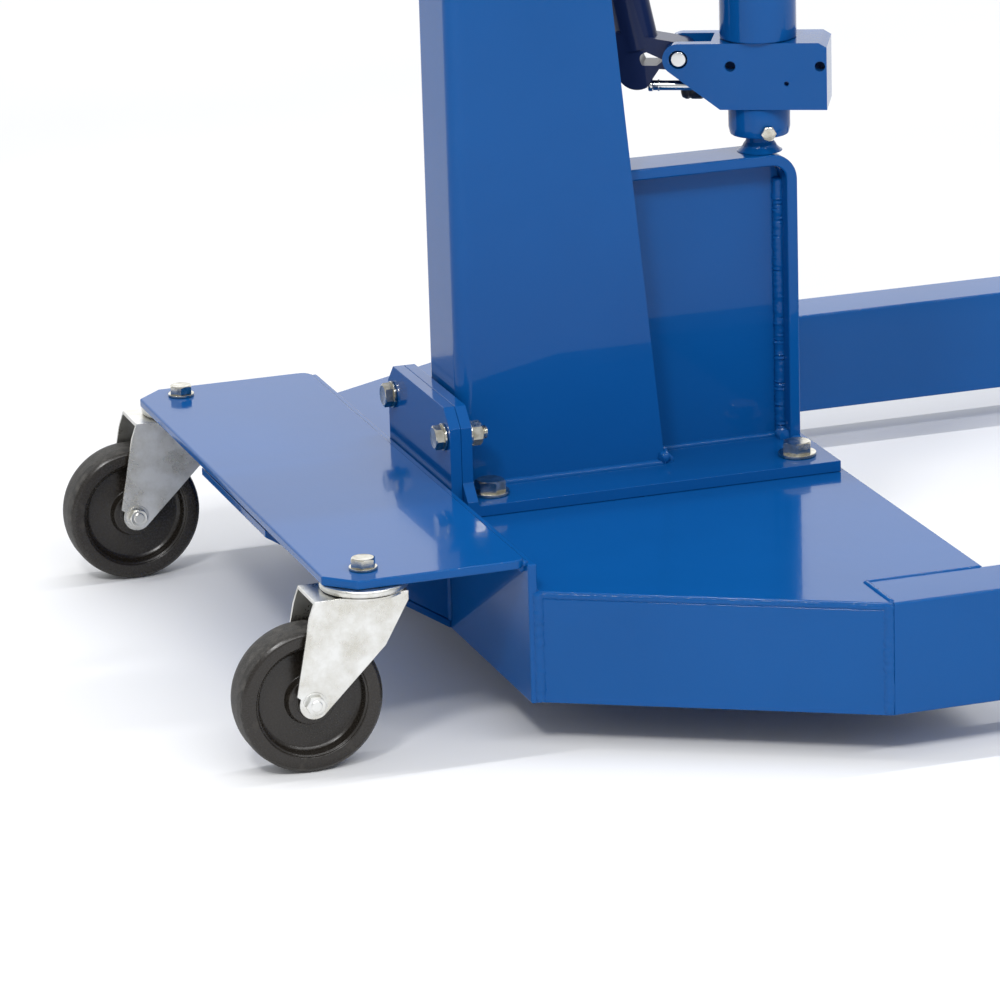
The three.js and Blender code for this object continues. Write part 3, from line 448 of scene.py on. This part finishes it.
corner = 6.4 * MM
corner_x, corner_y = rear_x + 1 * MM, rear_y + 3.5 * MM
bend_x, bend_y = flare_x - 1.6 * MM, outer_y + corner * 1.04
flare = Vector((flare_x - rear_x, outer_y - rear_y, 0)).normalized()
inward = Vector((-flare.y, flare.x, 0))
edge_line = inward * 3.1 * MM + Z * (top - 4 * MM)
flush = top - 1.6 * MM
welds("base_welds", mirrored([
    (Vector((rear_x, rear_y, 0)) + edge_line, Vector((flare_x, outer_y, 0)) + edge_line, 3.8 * MM, 0.02),
    ((corner_x, corner_y, bottom), (corner_x, corner_y, top), corner, 0.05),
    ((bend_x, bend_y, bottom), (bend_x, bend_y, top - 1 * MM), corner, 0.02),
    ((flare_x, outer_y + 4 * MM, flush), (flare_x, inner_y, flush), 3 * MM),
    ((flare_x, inner_y, flush), (deck_high.x - 2 * MM, inner_y, flush), 2.6 * MM),
    ((rear_x, rear_y + 12 * MM, top), (rear_x, DECK_SEAM_END, top), 3.2 * MM),
]))

seam_x, seam_z = plate_high.x, wall_high.z - 0.5 * MM
under_x = seam_x - 1 * MM
welds("caster_plate_welds", mirrored([
    ((seam_x, rear_y + 5 * MM, seam_z), (seam_x, PLATE_SEAM_END, seam_z), 2.6 * MM),
    ((under_x, rear_y + 8 * MM, plate_low.z), (under_x, PLATE_SEAM_END, plate_low.z), 4 * MM),
]))

low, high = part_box("gusset_right")
welds("gusset_welds", mirrored([
    ((low.x + 4 * MM, low.y, high.z), (high.x, low.y, high.z), 2.6 * MM),
    ((high.x, low.y, low.z), (high.x, low.y, high.z - 4 * MM), 2.6 * MM),
]))

# %%
# Where the bracket, the column and the pedestal are welded
bracket_low, bracket_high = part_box("rear_bracket")
column_low, column_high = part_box("column")
web_low, web_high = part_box("pedestal_web")
bar_low, bar_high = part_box("pedestal_frame")
post_low, post_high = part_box("ball_post")
foot_top = column_low.z

seam_z = top + 0.5 * MM
welds("bracket_welds", [
    ((bracket_low.x, bracket_low.y + 2 * MM, top), (bracket_low.x, bracket_high.y - 2 * MM, top), 3.6 * MM),
] + mirrored([
    ((bracket_low.x, bracket_low.y, seam_z), (bracket_high.x, bracket_low.y, seam_z), 4 * MM),
]))

rear, front, side_y = column_low.x, column_high.x, column_low.y
welds("column_welds", mirrored([
    ((rear + 12 * MM, side_y, foot_top), (front + 1 * MM, side_y, foot_top), 3.4 * MM),
    ((front + 2 * MM, side_y - 1 * MM, foot_top + 1 * MM),
     (front + 2 * MM, side_y + 13 * MM, foot_top + 1 * MM), 6 * MM, 0.16),
    ((front - 6 * MM, side_y, foot_top + 3 * MM),
     (front + 4 * MM, side_y + 3 * MM, foot_top + 6 * MM), 5.6 * MM, 0.2),
    ((front - 2 * MM, side_y + 2 * MM, foot_top + 8 * MM),
     (front - 1 * MM, side_y + 9 * MM, foot_top + 7 * MM), 5.2 * MM, 0.2),
    ((rear, side_y + 14 * MM, foot_top), (rear, 0, foot_top), 3.2 * MM),
    ((rear + 1 * MM, side_y + 8 * MM, foot_top + 1 * MM),
     (rear + 14 * MM, side_y, foot_top + 1 * MM), 4.2 * MM, 0.2),
]))

inner_x, web_y, lap_z = web_high.x, web_low.y, bar_high.z - 3 * MM
welds("pedestal_welds", mirrored([
    ((inner_x - 1 * MM, web_y - 1.5 * MM, foot_top + 2 * MM),
     (inner_x - 1 * MM, web_y - 1.5 * MM, web_high.z - 14 * MM), 5.4 * MM, 0.16),
    ((inner_x - 2 * MM, web_y - 2 * MM, foot_top + 2 * MM),
     (inner_x - 2 * MM, bar_low.y + 2 * MM, foot_top + 2 * MM), 5 * MM, 0.3),
    ((front + 4 * MM, web_y - 0.5 * MM, foot_top), (inner_x, web_y - 0.5 * MM, foot_top), 3 * MM),
    ((bar_high.x - 10 * MM, bar_low.y, foot_top), (bar_high.x, bar_low.y, foot_top), 3.4 * MM),
    ((front + 1 * MM, -3 * MM, foot_top + 2 * MM),
     (bar_low.x + 1 * MM, web_y, web_high.z - 3 * MM), 2.6 * MM),
    ((bar_low.x + 1 * MM, bar_low.y + 3 * MM, lap_z), (bar_low.x + 1 * MM, 0, lap_z), 3.2 * MM),
]))

# %% [markdown]
# Anything that came off a lathe is a profile turned about an axis. Blender's Screw modifier
# could do that live, but the pieces here are made ready: a profile is drawn as a few
# vertices, its corners are rounded by a short curve, and the spin operator turns it with
# enough steps that the outline looks round from close by.

# %%
# Turned shapes
CORNER_STEPS = 3
PITCH, THREAD_DEPTH = 1.75 * MM, 0.7 * MM


def rounded(points, radius, closed=True):
    """the outline with each corner replaced by a short curve"""
    result = []
    for index, point in enumerate(points):
        corner_point = Vector(point)
        if not closed and index in (0, len(points) - 1):
            result.append(corner_point)
            continue
        before = Vector(points[index - 1]) - corner_point
        after = Vector(points[(index + 1) % len(points)]) - corner_point
        start = corner_point + before.normalized() * min(radius, before.length * 0.45)
        end = corner_point + after.normalized() * min(radius, after.length * 0.45)
        for step in range(CORNER_STEPS + 1):
            t = step / CORNER_STEPS
            result.append(start * (1 - t) ** 2 + corner_point * 2 * t * (1 - t) + end * t * t)
    return result


def put(shape, verts, place):
    """moves new vertices into place and turns their faces outward"""
    bmesh.ops.transform(shape, matrix=place, verts=verts)
    faces = dict.fromkeys(face for vert in verts for face in vert.link_faces)
    bmesh.ops.recalc_face_normals(shape, faces=list(faces))


def turned(shape, profile, place, steps, closed=True):
    """turns a profile of (radius, height) about Z into place; an open one ends on the axis"""
    old = set(shape.verts)
    verts = [shape.verts.new((r, 0, h)) for r, h in profile]
    pairs = list(zip(verts, verts[1:])) + ([(verts[-1], verts[0])] if closed else [])
    edges = [shape.edges.new(pair) for pair in pairs]
    bmesh.ops.spin(shape, geom=verts + edges, cent=(0, 0, 0), axis=(0, 0, 1),
                   angle=math.tau, steps=steps, use_merge=True)
    fresh = [vert for vert in shape.verts if vert not in old]
    bmesh.ops.remove_doubles(shape, verts=fresh, dist=1e-7)
    fresh = [vert for vert in shape.verts if vert not in old]
    put(shape, fresh, place)


def ring(inner, outer, low, high):
    """the profile of a flat ring"""
    return [(inner, low), (outer, low), (outer, high), (inner, high)]


def rod(radius, low, high, chamfer):
    """the open profile of a solid bar with chamfered ends"""
    return [(0, low), (radius - chamfer, low), (radius, low + chamfer), (radius, high - chamfer),
            (radius - chamfer, high), (0, high)]


def thread(radius, low, high):
    """the open profile of a threaded end: a row of ridges"""
    core = radius - THREAD_DEPTH
    profile = [(0, low), (core, low)]
    for ridge in range(int((high - low) / PITCH)):
        foot = low + ridge * PITCH
        profile += [(core, foot + 0.1 * PITCH), (radius, foot + 0.4 * PITCH),
                    (radius, foot + 0.6 * PITCH), (core, foot + 0.9 * PITCH)]
    return profile + [(core, high), (0, high)]


print("profiles can be turned")

# %% [markdown]
# A hexagon head is turned to a cone before its flats are cut, so each flat ends in a curved
# line. A six-sided cylinder with a bevel misses that curve, and it shows in every highlight. Here
# a circle of many points is pushed out to the hexagon, raised, and its rim is lowered where it
# lies further out than the turned circle, which gives the curves by themselves.

# %%
# Hexagon heads, nuts and washers
HEX_STEPS = 48
SECTOR = math.pi / 3
TURNED_SHARE = 0.475
DISH_SHARE, DISH = 0.8, 0.3 * MM
CHAMFER = math.radians(28)


def hexagon(shape, flats, height, place, bore=0):
    """a head from across flats and height; with a bore it is a nut, open right through"""
    old = set(shape.verts)
    inner = flats * TURNED_SHARE
    foot = bmesh.ops.create_circle(shape, radius=1, segments=HEX_STEPS)["verts"]
    bottom_rim = rim = edges_of(foot)
    for vert in foot:
        angle = math.atan2(vert.co.y, vert.co.x) % SECTOR - SECTOR / 2
        vert.co = vert.co.normalized() * (flats / 2 / math.cos(angle))
    verts, rim = extruded(shape, rim)
    for vert in verts:
        reach = Vector((vert.co.x, vert.co.y, 0)).length
        vert.co.z = height - (reach - inner) * math.tan(CHAMFER)
    for radius, level in ((inner, height), (bore or inner * DISH_SHARE, height - DISH)):
        verts, rim = extruded(shape, rim)
        for vert in verts:
            vert.co = Vector((vert.co.x, vert.co.y, 0)).normalized() * radius + Z * level
    if bore:
        verts, rim = extruded(shape, rim)
        for vert in verts:
            vert.co.z = 0
        bmesh.ops.bridge_loops(shape, edges=rim + bottom_rim)
    else:
        bmesh.ops.contextual_create(shape, geom=rim)
        bmesh.ops.contextual_create(shape, geom=bottom_rim)
    put(shape, [vert for vert in shape.verts if vert not in old], place)


WASHER = 2.4 * MM
SLACK = 0.3 * MM


def fastener(node, seat, axis, size, flats, head, washer_radius, washer=WASHER, tail=0, nut=False):
    """a washer and a head or nut on a seat, with a shank behind it or a threaded tail in front"""
    shape = bmesh.new()
    place = standing(seat, axis)
    bore = size / 2 + 0.4 * MM
    turned(shape, rounded(ring(bore, washer_radius, 0, washer), 0.5 * MM), place, 48)
    spin_by = Matrix.Rotation(chance.uniform(0, SECTOR), 4, "Z")
    on_washer = place @ Matrix.Translation(Z * washer) @ spin_by
    hexagon(shape, flats, head, on_washer, bore=size / 2 + 0.05 * MM if nut else 0)
    if nut:
        shank = thread(size / 2 - 0.05 * MM, head * 0.3, washer + head + tail)
    else:
        shank = rod(size / 2 - SLACK, -tail, 0.5 * MM, 1 * MM)
    turned(shape, shank, place, 32, closed=False)
    settle(node + "_set", shape, body_of[node], "zinc_plate", [node], crease=BOLT_CREASE, finish="bolt_zinc")


# %%
# The bolts of the column foot, the bracket and the caster plate
M16, M12 = (16 * MM, 24 * MM), (12 * MM, 19 * MM)
for node in sorted(nodes):
    low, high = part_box(node)
    centre = middle(node)
    if node.startswith("foot_bolt"):
        seat = Vector((centre.x, centre.y, foot_top))
        fastener(node, seat, Z, *M16, 10 * MM, 17 * MM, 3 * MM, tail=9 * MM)
    if node.startswith("bracket_bolt"):
        seat = Vector((bracket_low.x - SLACK, centre.y, centre.z))
        fastener(node, seat, -X, *M12, 7.6 * MM, 12 * MM, tail=21 * MM)
    if node.startswith("bracket_nut"):
        seat = Vector((low.x, centre.y, centre.z))
        fastener(node, seat, X, *M12, 10 * MM, 12 * MM, tail=5 * MM, nut=True)
    if node.startswith("caster_bolt"):
        seat = Vector((centre.x, centre.y, plate_high.z + SLACK))
        fastener(node, seat, Z, *M12, 7.6 * MM, 12 * MM, tail=plate_high.z - low.z)
print("fasteners seated")

# %% [markdown]
# A caster is a pressed fork under a ball race. The race is a cupped disc with a rolled rim, and
# a thin dark gap parts it from the crown of the fork. The wheel is moulded: a hub, a thin web
# and a heavy rim with a step inside it. Its profile is written for one half and mirrored,
# because both faces of the wheel are alike.

# %%
# Wheels, ball races and axles
TREAD = 2.6 * MM
THIN_WASHER = 1.2 * MM


def wheel(node, radius, half, bore, hub, web):
    """a moulded wheel about Y; half is half its width, hub and web are the hub's radius and half web"""
    inner_rim = radius * 0.74
    half_profile = [
        (bore, half - 1 * MM), (hub * 0.66, half - 1 * MM), (hub * 0.7, half - 2.4 * MM),
        (hub, half - 2.6 * MM), (hub + 1.6 * MM, web + 1.5 * MM), (inner_rim - 4 * MM, web),
        (inner_rim - 0.8 * MM, web + 2.5 * MM), (inner_rim, half - 2.2 * MM),
        (inner_rim + 1.6 * MM, half - 1.6 * MM), (inner_rim + 2.4 * MM, half),
        (radius - 4.6 * MM, half), (radius - 1.2 * MM, half - 2.8 * MM), (radius, half * 0.42),
    ]
    profile = half_profile + [(r, -h) for r, h in reversed(half_profile)]
    shape = bmesh.new()
    turned(shape, rounded(profile, 1.1 * MM), standing((0, 0, 0), Y), 96)
    for face in shape.faces:
        centre = face.calc_center_median()
        face.material_index = int(math.hypot(centre.x, centre.z) > radius - TREAD)
    bmesh.ops.translate(shape, vec=middle(node), verts=shape.verts)
    settle(node + "_moulded", shape, body_of[node], "wheel_tyre", [node], more=[tread_finish])


def axle(node, radius, head, bore):
    """a bolt right through, with a washer and a nut, along Y"""
    low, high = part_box(node)
    centre = (low + high) / 2
    shape = bmesh.new()
    ends = (high.y - low.y) / 2
    turned(shape, thread(radius, -ends + 1 * MM, ends), standing(centre, Y), 32, closed=False)
    for sign in (-1, 1):
        out = Y * sign
        seat = centre + out * (ends - head - THIN_WASHER)
        washer = rounded(ring(bore, radius * 2.1, 0, THIN_WASHER), 0.4 * MM)
        turned(shape, washer, standing(seat, out), 40)
        hexagon(shape, radius * 3.1, head - 1.5 * MM, standing(seat + out * THIN_WASHER, out))
    settle(node + "_set", shape, body_of[node], "zinc_plate", [node], crease=BOLT_CREASE)


for side in SIDES:
    wheel(f"caster_wheel_{side}", 62.5 * MM, 18 * MM, 6.5 * MM, 20 * MM, 6 * MM)
    wheel(f"front_wheel_{side}", 38 * MM, 15 * MM, 6.5 * MM, 13 * MM, 7 * MM)
    axle(f"caster_axle_{side}", 5 * MM, 6.3 * MM, 5.5 * MM)
    axle(f"front_axle_{side}", 5 * MM, 7 * MM, 5.5 * MM)
    race = f"caster_race_{side}"
    low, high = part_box(race)
    brim, tall, bore = (high.x - low.x) / 2, high.z - low.z, 6.3 * MM
    race_profile = [
        (bore, tall), (brim - 1 * MM, tall), (brim, tall - 1.2 * MM), (brim, 1.6 * MM),
        (brim - 1.6 * MM, 0.1 * MM), (brim - 3 * MM, 1.6 * MM), (brim - 12 * MM, 2.2 * MM),
        (brim - 14 * MM, 0.9 * MM), (bore, 0.9 * MM),
    ]
    shape = bmesh.new()
    foot = Vector((middle(race).x, middle(race).y, low.z))
    turned(shape, rounded(race_profile, 0.8 * MM), standing(foot, Z), 72)
    settle(race + "_rolled", shape, "frame", "zinc_plate", [race])
print("casters and front wheels made")

# %% [markdown]
# The pump unit turns on its ball, so its own length does not lie along the crane's. Its places
# are therefore worked out in the unit's own frame, which the joints of the record give: the
# plunger slides along its length and the lever's pin lies across it.

# %%
# The pump's own frame, its cup, pins, knob and plunger
plunge = Vector(joints["piston_slide"]["axis"])
ram_x = joints["pump_swivel"]["pos_m"][0]
pump = Matrix.Translation((ram_x, 0, 0)) @ Matrix.Rotation(math.atan2(plunge.y, plunge.x), 4, "Z")


def on_pump(x, y, z, axis):
    """a place in the pump's frame, with Z turned to one of the pump's own axes"""
    return pump @ standing((x, y, z), axis)


def turned_piece(name, profiles, node, steps):
    """one piece from several profiles: each is (points, place, closed, rounding)"""
    shape = bmesh.new()
    for points, place, closed, round_by in profiles:
        outline = rounded(points, round_by, closed=closed) if round_by else points
        turned(shape, outline, place, steps, closed)
    settle(name, shape, body_of[node], slot_of[node], [node])


cup_low, cup_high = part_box("ball_cup")
cup_radius, cup_tall = (cup_high.x - cup_low.x) / 2, cup_high.z - cup_low.z
pocket = 13.25 * MM
cup_profile = [
    (0, cup_tall), (cup_radius, cup_tall), (cup_radius, cup_tall * 0.25), (cup_radius - 1.4 * MM, 0),
    (pocket, 0), (pocket, 9 * MM), (pocket * 0.85, 15.5 * MM), (pocket * 0.5, 19.5 * MM), (0, 21 * MM),
]
turned_piece("ball_cup_turned", [(cup_profile, standing((ram_x, 0, cup_low.z), Z), False, 1.4 * MM)],
             "ball_cup", 80)

post_tall = post_high.z - post_low.z
ball = 12 * MM
ball_z = post_tall - ball * 0.98
post_profile = [(0, 0), (20.6 * MM, 0), (18.6 * MM, 1 * MM), (15.2 * MM, 4.4 * MM), (14.6 * MM, 6 * MM),
                (12.4 * MM, 9 * MM), (11.6 * MM, 13 * MM), (11 * MM, ball_z - 6 * MM)]
for degrees in range(-22, 90, 14):
    rise = math.radians(degrees)
    post_profile.append((ball * math.cos(rise), ball_z + ball * math.sin(rise)))
post_profile.append((0, post_tall))
turned_piece("ball_post_turned", [(post_profile, standing((ram_x, 0, post_low.z), Z), False, 0.8 * MM)],
             "ball_post", 64)

lever_joint = joints["lever_pump"]
lever_z = lever_joint["pos_m"][2]
on_pin = standing(Vector(lever_joint["pos_m"]), Vector(lever_joint["axis"]))
lever_pin = rod(7.15 * MM, -28 * MM, 28 * MM, 0.8 * MM)
turned_piece("lever_pin_turned", [(lever_pin, on_pin, False, 0.4 * MM)], "lever_pin", 48)

plunger_place = on_pump(-97.3 * MM, -10 * MM, middle("pump_piston").z, X)
turned_piece("pump_piston_turned", [
    (rod(5.4 * MM, 0, 5 * MM, 0.9 * MM), plunger_place, False, 0.3 * MM),
    (rod(4.5 * MM, 4 * MM, 62 * MM, 0.5 * MM), plunger_place, False, 0.3 * MM),
    (ring(3.6 * MM, 5.2 * MM, 9 * MM, 10.4 * MM), plunger_place, True, 0.3 * MM),
], "pump_piston", 40)

knob_place = on_pump(-69.5 * MM, 6.6 * MM, middle("release_knob").z, X)
knob_profile = [(0, 0.6 * MM), (6 * MM, 0), (9.4 * MM, 1.2 * MM), (10.9 * MM, 4.5 * MM), (10.9 * MM, 7 * MM),
                (10.1 * MM, 7.6 * MM), (10.1 * MM, 9 * MM), (10.9 * MM, 9.6 * MM), (10.9 * MM, 18.5 * MM),
                (9.4 * MM, 20.8 * MM), (0, 20.8 * MM)]
turned_piece("release_knob_turned", [
    (knob_profile, knob_place, False, 0.6 * MM),
    (rod(3.8 * MM, 20 * MM, 39 * MM, 0.5 * MM), knob_place, False, 0),
], "release_knob", 48)

screw_centre = middle("cup_screw")
cup_axis = Vector((ram_x, 0, screw_centre.z))
screw_out = (screw_centre - cup_axis).normalized()
on_cup = standing(cup_axis + screw_out * (cup_radius + 0.45 * MM), screw_out)
shape = bmesh.new()
hexagon(shape, 12 * MM, 5.3 * MM, on_cup)
turned(shape, rod(4 * MM, -1.2 * MM, 1 * MM, 0.2 * MM), on_cup, 32, closed=False)
settle("cup_screw_head", shape, "pump_unit", "zinc_plate", ["cup_screw"], crease=BOLT_CREASE,
       finish="bolt_zinc")
print("pump parts turned")

# %% [markdown]
# The handle is a plated tube that drops into the lever's socket, with a ribbed plastic grip
# pushed over its end. The ribs are what makes a grip look like one, so they are rings in the
# profile and not a bump. The tube leans back in the pump's frame by twelve degrees.

# %%
# Handle and grip
LEAN = math.radians(-12)
SOCKET_X, SOCKET_RISE = -106.3 * MM, 6 * MM
RIBS, RIB_PITCH = 9, 11 * MM

handle_foot = Matrix.Translation((SOCKET_X, 0, lever_z + SOCKET_RISE))
handle_place = pump @ handle_foot @ Matrix.Rotation(LEAN, 4, "Y")
handle_tube = ring(10 * MM, 13 * MM, 23 * MM, 623 * MM)
turned_piece("pump_handle_tube", [(handle_tube, handle_place, True, 0.6 * MM)], "pump_handle", 48)
grip_low, grip_high = 511 * MM, 631 * MM
grip_profile = [(13.3 * MM, grip_low), (18.6 * MM, grip_low), (18.8 * MM, grip_low + 5 * MM)]
for rib in range(RIBS):
    foot = grip_low + 12 * MM + rib * RIB_PITCH
    grip_profile += [(16 * MM, foot), (16 * MM, foot + 4 * MM), (17 * MM, foot + 5.2 * MM),
                     (17 * MM, foot + 9.4 * MM)]
grip_profile += [(16.4 * MM, grip_high - 5 * MM), (13 * MM, grip_high), (0, grip_high),
                 (0, 624 * MM), (13.3 * MM, 624 * MM)]
turned_piece("handle_grip_ribbed", [(grip_profile, handle_place, True, 0.8 * MM)], "handle_grip", 48)
print("handle stands", round(math.degrees(-LEAN)), "degrees off upright")

# %% [markdown]
# The ram is a painted cylinder with a turned gland and a hard-chromed rod. It stands on the pump
# block and turns with it, and the rod ends in an eye that takes the pin of the boom.

# %%
# Ram cylinder, gland, rod and pins
tube_low, tube_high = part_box("ram_cylinder")
tube_radius = (tube_high.x - tube_low.x) / 2
tube_tall = tube_high.z - tube_low.z
tube_bore = tube_radius - 6 * MM
on_block = standing((ram_x, 0, tube_low.z), Z)
tube_profile = [(0, 0), (tube_radius, 0), (tube_radius, tube_tall), (tube_bore, tube_tall),
                (tube_bore, 12 * MM), (0, 12 * MM)]
turned_piece("ram_cylinder_tube", [(tube_profile, on_block, False, 1 * MM)], "ram_cylinder", 80)

gland_low, gland_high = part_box("ram_gland")
gland_radius, gland_bore = (gland_high.x - gland_low.x) / 2, 18.5 * MM
on_gland = standing((ram_x, 0, tube_high.z), Z)
head_high = gland_high.z - tube_high.z
gland_profile = [
    (gland_bore, -18 * MM), (tube_bore - SLACK, -18 * MM), (tube_bore - SLACK, SLACK),
    (tube_radius, SLACK), (gland_radius, 3 * MM), (gland_radius, 9 * MM),
    (gland_radius - 1.5 * MM, 9.8 * MM), (gland_radius - 1.5 * MM, 12 * MM), (gland_radius, 12.8 * MM),
    (gland_radius, head_high - 6 * MM), (tube_radius - 4 * MM, head_high - 0.6 * MM),
    (24 * MM, head_high), (22.5 * MM, head_high - 1.6 * MM), (gland_bore, head_high - 1.6 * MM),
]
turned_piece("ram_gland_turned", [(gland_profile, on_gland, True, 0.6 * MM)], "ram_gland", 80)

pin_centre = middle("ram_pin")
rod_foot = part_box("ram_rod")[0].z
eye_radius, eye_half = 20 * MM, 24 * MM
rod_tall = pin_centre.z - rod_foot - eye_radius + 4 * MM
across = standing(pin_centre, Y)
turned_piece("ram_rod_chromed", [
    (rod(18 * MM, 0, rod_tall, 1.5 * MM), standing((ram_x, 0, rod_foot), Z), False, 0.8 * MM),
    (ring(10.3 * MM, eye_radius, -eye_half, eye_half), across, True, 1.6 * MM),
], "ram_rod", 64)
pin_low, pin_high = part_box("ram_pin")
cap_low, cap_high, cap_radius = 38.7 * MM, (pin_high.y - pin_low.y) / 2 - 0.2 * MM, 22.8 * MM
cap = [(0, cap_low), (cap_radius, cap_low), (cap_radius, cap_high), (0, cap_high)]
turned_piece("ram_pin_turned", [
    (rod(9.8 * MM, -39 * MM, 39 * MM, 0.5 * MM), across, False, 0),
    (cap, across, False, 1.2 * MM),
    ([(r, -h) for r, h in cap], across, False, 1.2 * MM),
], "ram_pin", 56)


# %%
# The boom's pivot bolt and the hook's pin
def through_bolt(node, radius, flats, head):
    """a plain shank along Y with a hexagon head at each end"""
    low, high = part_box(node)
    centre = (low + high) / 2
    grip = (high.y - low.y) / 2 - head
    shape = bmesh.new()
    turned(shape, rod(radius - 0.2 * MM, -grip, grip, 0.5 * MM), standing(centre, Y), 40, closed=False)
    for sign in (-1, 1):
        hexagon(shape, flats, head, standing(centre + Y * sign * grip, Y * sign))
    settle(node + "_set", shape, body_of[node], "zinc_plate", [node], crease=BOLT_CREASE)


through_bolt("boom_pin", 12.5 * MM, 36 * MM, 12 * MM)
through_bolt("hook_pin", 7 * MM, 22 * MM, 7 * MM)
print("ram and pins made")

# %% [markdown]
# A lifting hook is forged from a round bar and is thickest at the bottom of its bow, where the
# load bends it most. A pipe of one thickness looks like wire. So a ring is carried along the
# bow by the extrude operator, turned a little at each step, and scaled by a smooth function
# that is greatest at the bottom. The last four steps close it to a blunt tip.

# %%
# Hook
BOW_STEPS, TIP_STEPS = 44, 4
BOW_START, BOW_END, TIP_REACH = math.radians(96), math.radians(350), math.radians(14)
BLUNT = 0.12
bow_radius, stock = 32 * MM, 11 * MM
hook_x = joints["hook_swivel"]["pos_m"][0]
bow_centre = Vector((hook_x, 0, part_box("hook")[0].z + bow_radius + stock - 1 * MM))


def bow_section(angle, size):
    """the matrix of the bow's section at an angle"""
    outward = X * math.cos(angle) + Z * math.sin(angle)
    onward = Z * math.cos(angle) - X * math.sin(angle)
    facing = Matrix((outward, Y, onward)).transposed().to_4x4()
    here = Matrix.Translation(bow_centre + outward * bow_radius)
    return here @ facing @ Matrix.Diagonal((size, size * 0.92, size, 1))


def bow_size(angle):
    return stock * (0.74 + 0.26 * (math.sin(angle) * -0.5 + 0.5))


shape = bmesh.new()
place = bow_section(BOW_START, bow_size(BOW_START))
start = bmesh.ops.create_circle(shape, cap_ends=True, radius=1, segments=20, matrix=place)
rim = edges_of(start["verts"])
for step in range(1, BOW_STEPS + TIP_STEPS + 1):
    verts, rim = extruded(shape, rim)
    if step <= BOW_STEPS:
        angle = BOW_START + (BOW_END - BOW_START) * step / BOW_STEPS
        size = bow_size(angle)
    else:
        nose = (step - BOW_STEPS) / TIP_STEPS * math.pi / 2
        angle = BOW_END + TIP_REACH * math.sin(nose)
        size = bow_size(BOW_END) * max(BLUNT, math.cos(nose))
    next_place = bow_section(angle, size)
    bmesh.ops.transform(shape, matrix=next_place @ place.inverted(), verts=verts)
    place = next_place
bmesh.ops.contextual_create(shape, geom=rim)
bmesh.ops.recalc_face_normals(shape, faces=shape.faces)

neck_low = bow_centre.z + bow_radius - 8 * MM
neck_tall = joints["hook_swivel"]["pos_m"][2] - 2 * MM - neck_low
stud_tall = neck_tall + 7.6 * MM
neck_profile = [(0, 0), (9 * MM, 0), (9.6 * MM, 8 * MM), (11.8 * MM, 16 * MM),
                (11.8 * MM, neck_tall - 5 * MM), (10 * MM, neck_tall), (7 * MM, neck_tall),
                (7 * MM, stud_tall), (0, stud_tall)]
neck = rounded(neck_profile, 1.2 * MM, closed=False)
turned(shape, neck, standing((hook_x, 0, neck_low), Z), 40, closed=False)
settle("hook_forged", shape, "hook", "forged_steel", ["hook"])
print("hook forged, throat", round((bow_radius - stock) * 2 / MM), "mm")

# %% [markdown]
# The stage is a pale floor and broad, soft lights, as in a catalogue studio. Gloss paint shows
# what is around it more than it shows light, so the lamps are placed for their reflections: that
# of a wide panel behind the crane lies on the top faces, and those of two thin strips, one in
# front and one overhead, are the glints along edges and tubes. A small key lamp to one side
# lights the side faces, and the pale world fills the rest.

# %%
# Floor, lights and world
WORLD_COLOUR, WORLD_STRENGTH = (0.95, 0.97, 1.0, 1), 0.62

floor_mesh = bpy.data.meshes.new("floor")
shape = bmesh.new()
bmesh.ops.create_grid(shape, x_segments=1, y_segments=1, size=30)
shape.to_mesh(floor_mesh)
shape.free()
floor = bpy.data.objects.new("floor", floor_mesh)
bpy.context.scene.collection.objects.link(floor)
floor_finish = Finish("floor", Roughness=0.9)
dust = floor_finish.noise(3.0, 2.0)
floor_finish.set("Base Color", floor_finish.mix(dust, (0.86, 0.86, 0.87), (0.89, 0.89, 0.89)))
floor_mesh.materials.append(floor_finish.material)

# name: place, point it shines at, width and height in m, power in W
PANELS = {
    "back panel": ((0.6, 4.2, 1.7), (-0.3, 0, 0.6), (7, 2.2), 46),
    "key lamp": ((-2.6, -3.0, 3.9), (-0.4, 0, 0.3), (0.7, 0.7), 72),
    "front strip": ((0.2, -3.4, 3.6), (-0.2, 0, 0.3), (5, 0.3), 80),
    "top strip": ((-0.2, 0.2, 4.6), (-0.2, 0.1, 0.2), (6, 0.07), 88),
}
for name, (place, aim, size, power) in PANELS.items():
    panel = bpy.data.lights.new(name, "AREA")
    panel.shape = "RECTANGLE"
    panel.size, panel.size_y = size
    panel.energy = power
    light = bpy.data.objects.new(name, panel)
    light.matrix_world = standing(place, Vector(place) - Vector(aim))
    bpy.context.scene.collection.objects.link(light)

world = bpy.data.worlds.new("studio")
world.use_nodes = True
sky = world.node_tree.nodes["Background"].inputs
sky["Color"].default_value, sky["Strength"].default_value = WORLD_COLOUR, WORLD_STRENGTH
bpy.context.scene.world = world
bpy.context.scene.view_settings.view_transform = "Standard"
print("stage set")

# %% [markdown]
# Any part of the frame that no new piece stands for still shows, so each gets the finish of its
# slot here.

# %%
# Finishes on the parts that stay
for node, part in nodes.items():
    part.data.materials.clear()
    part.data.materials.append(finishes[slot_of[node]])
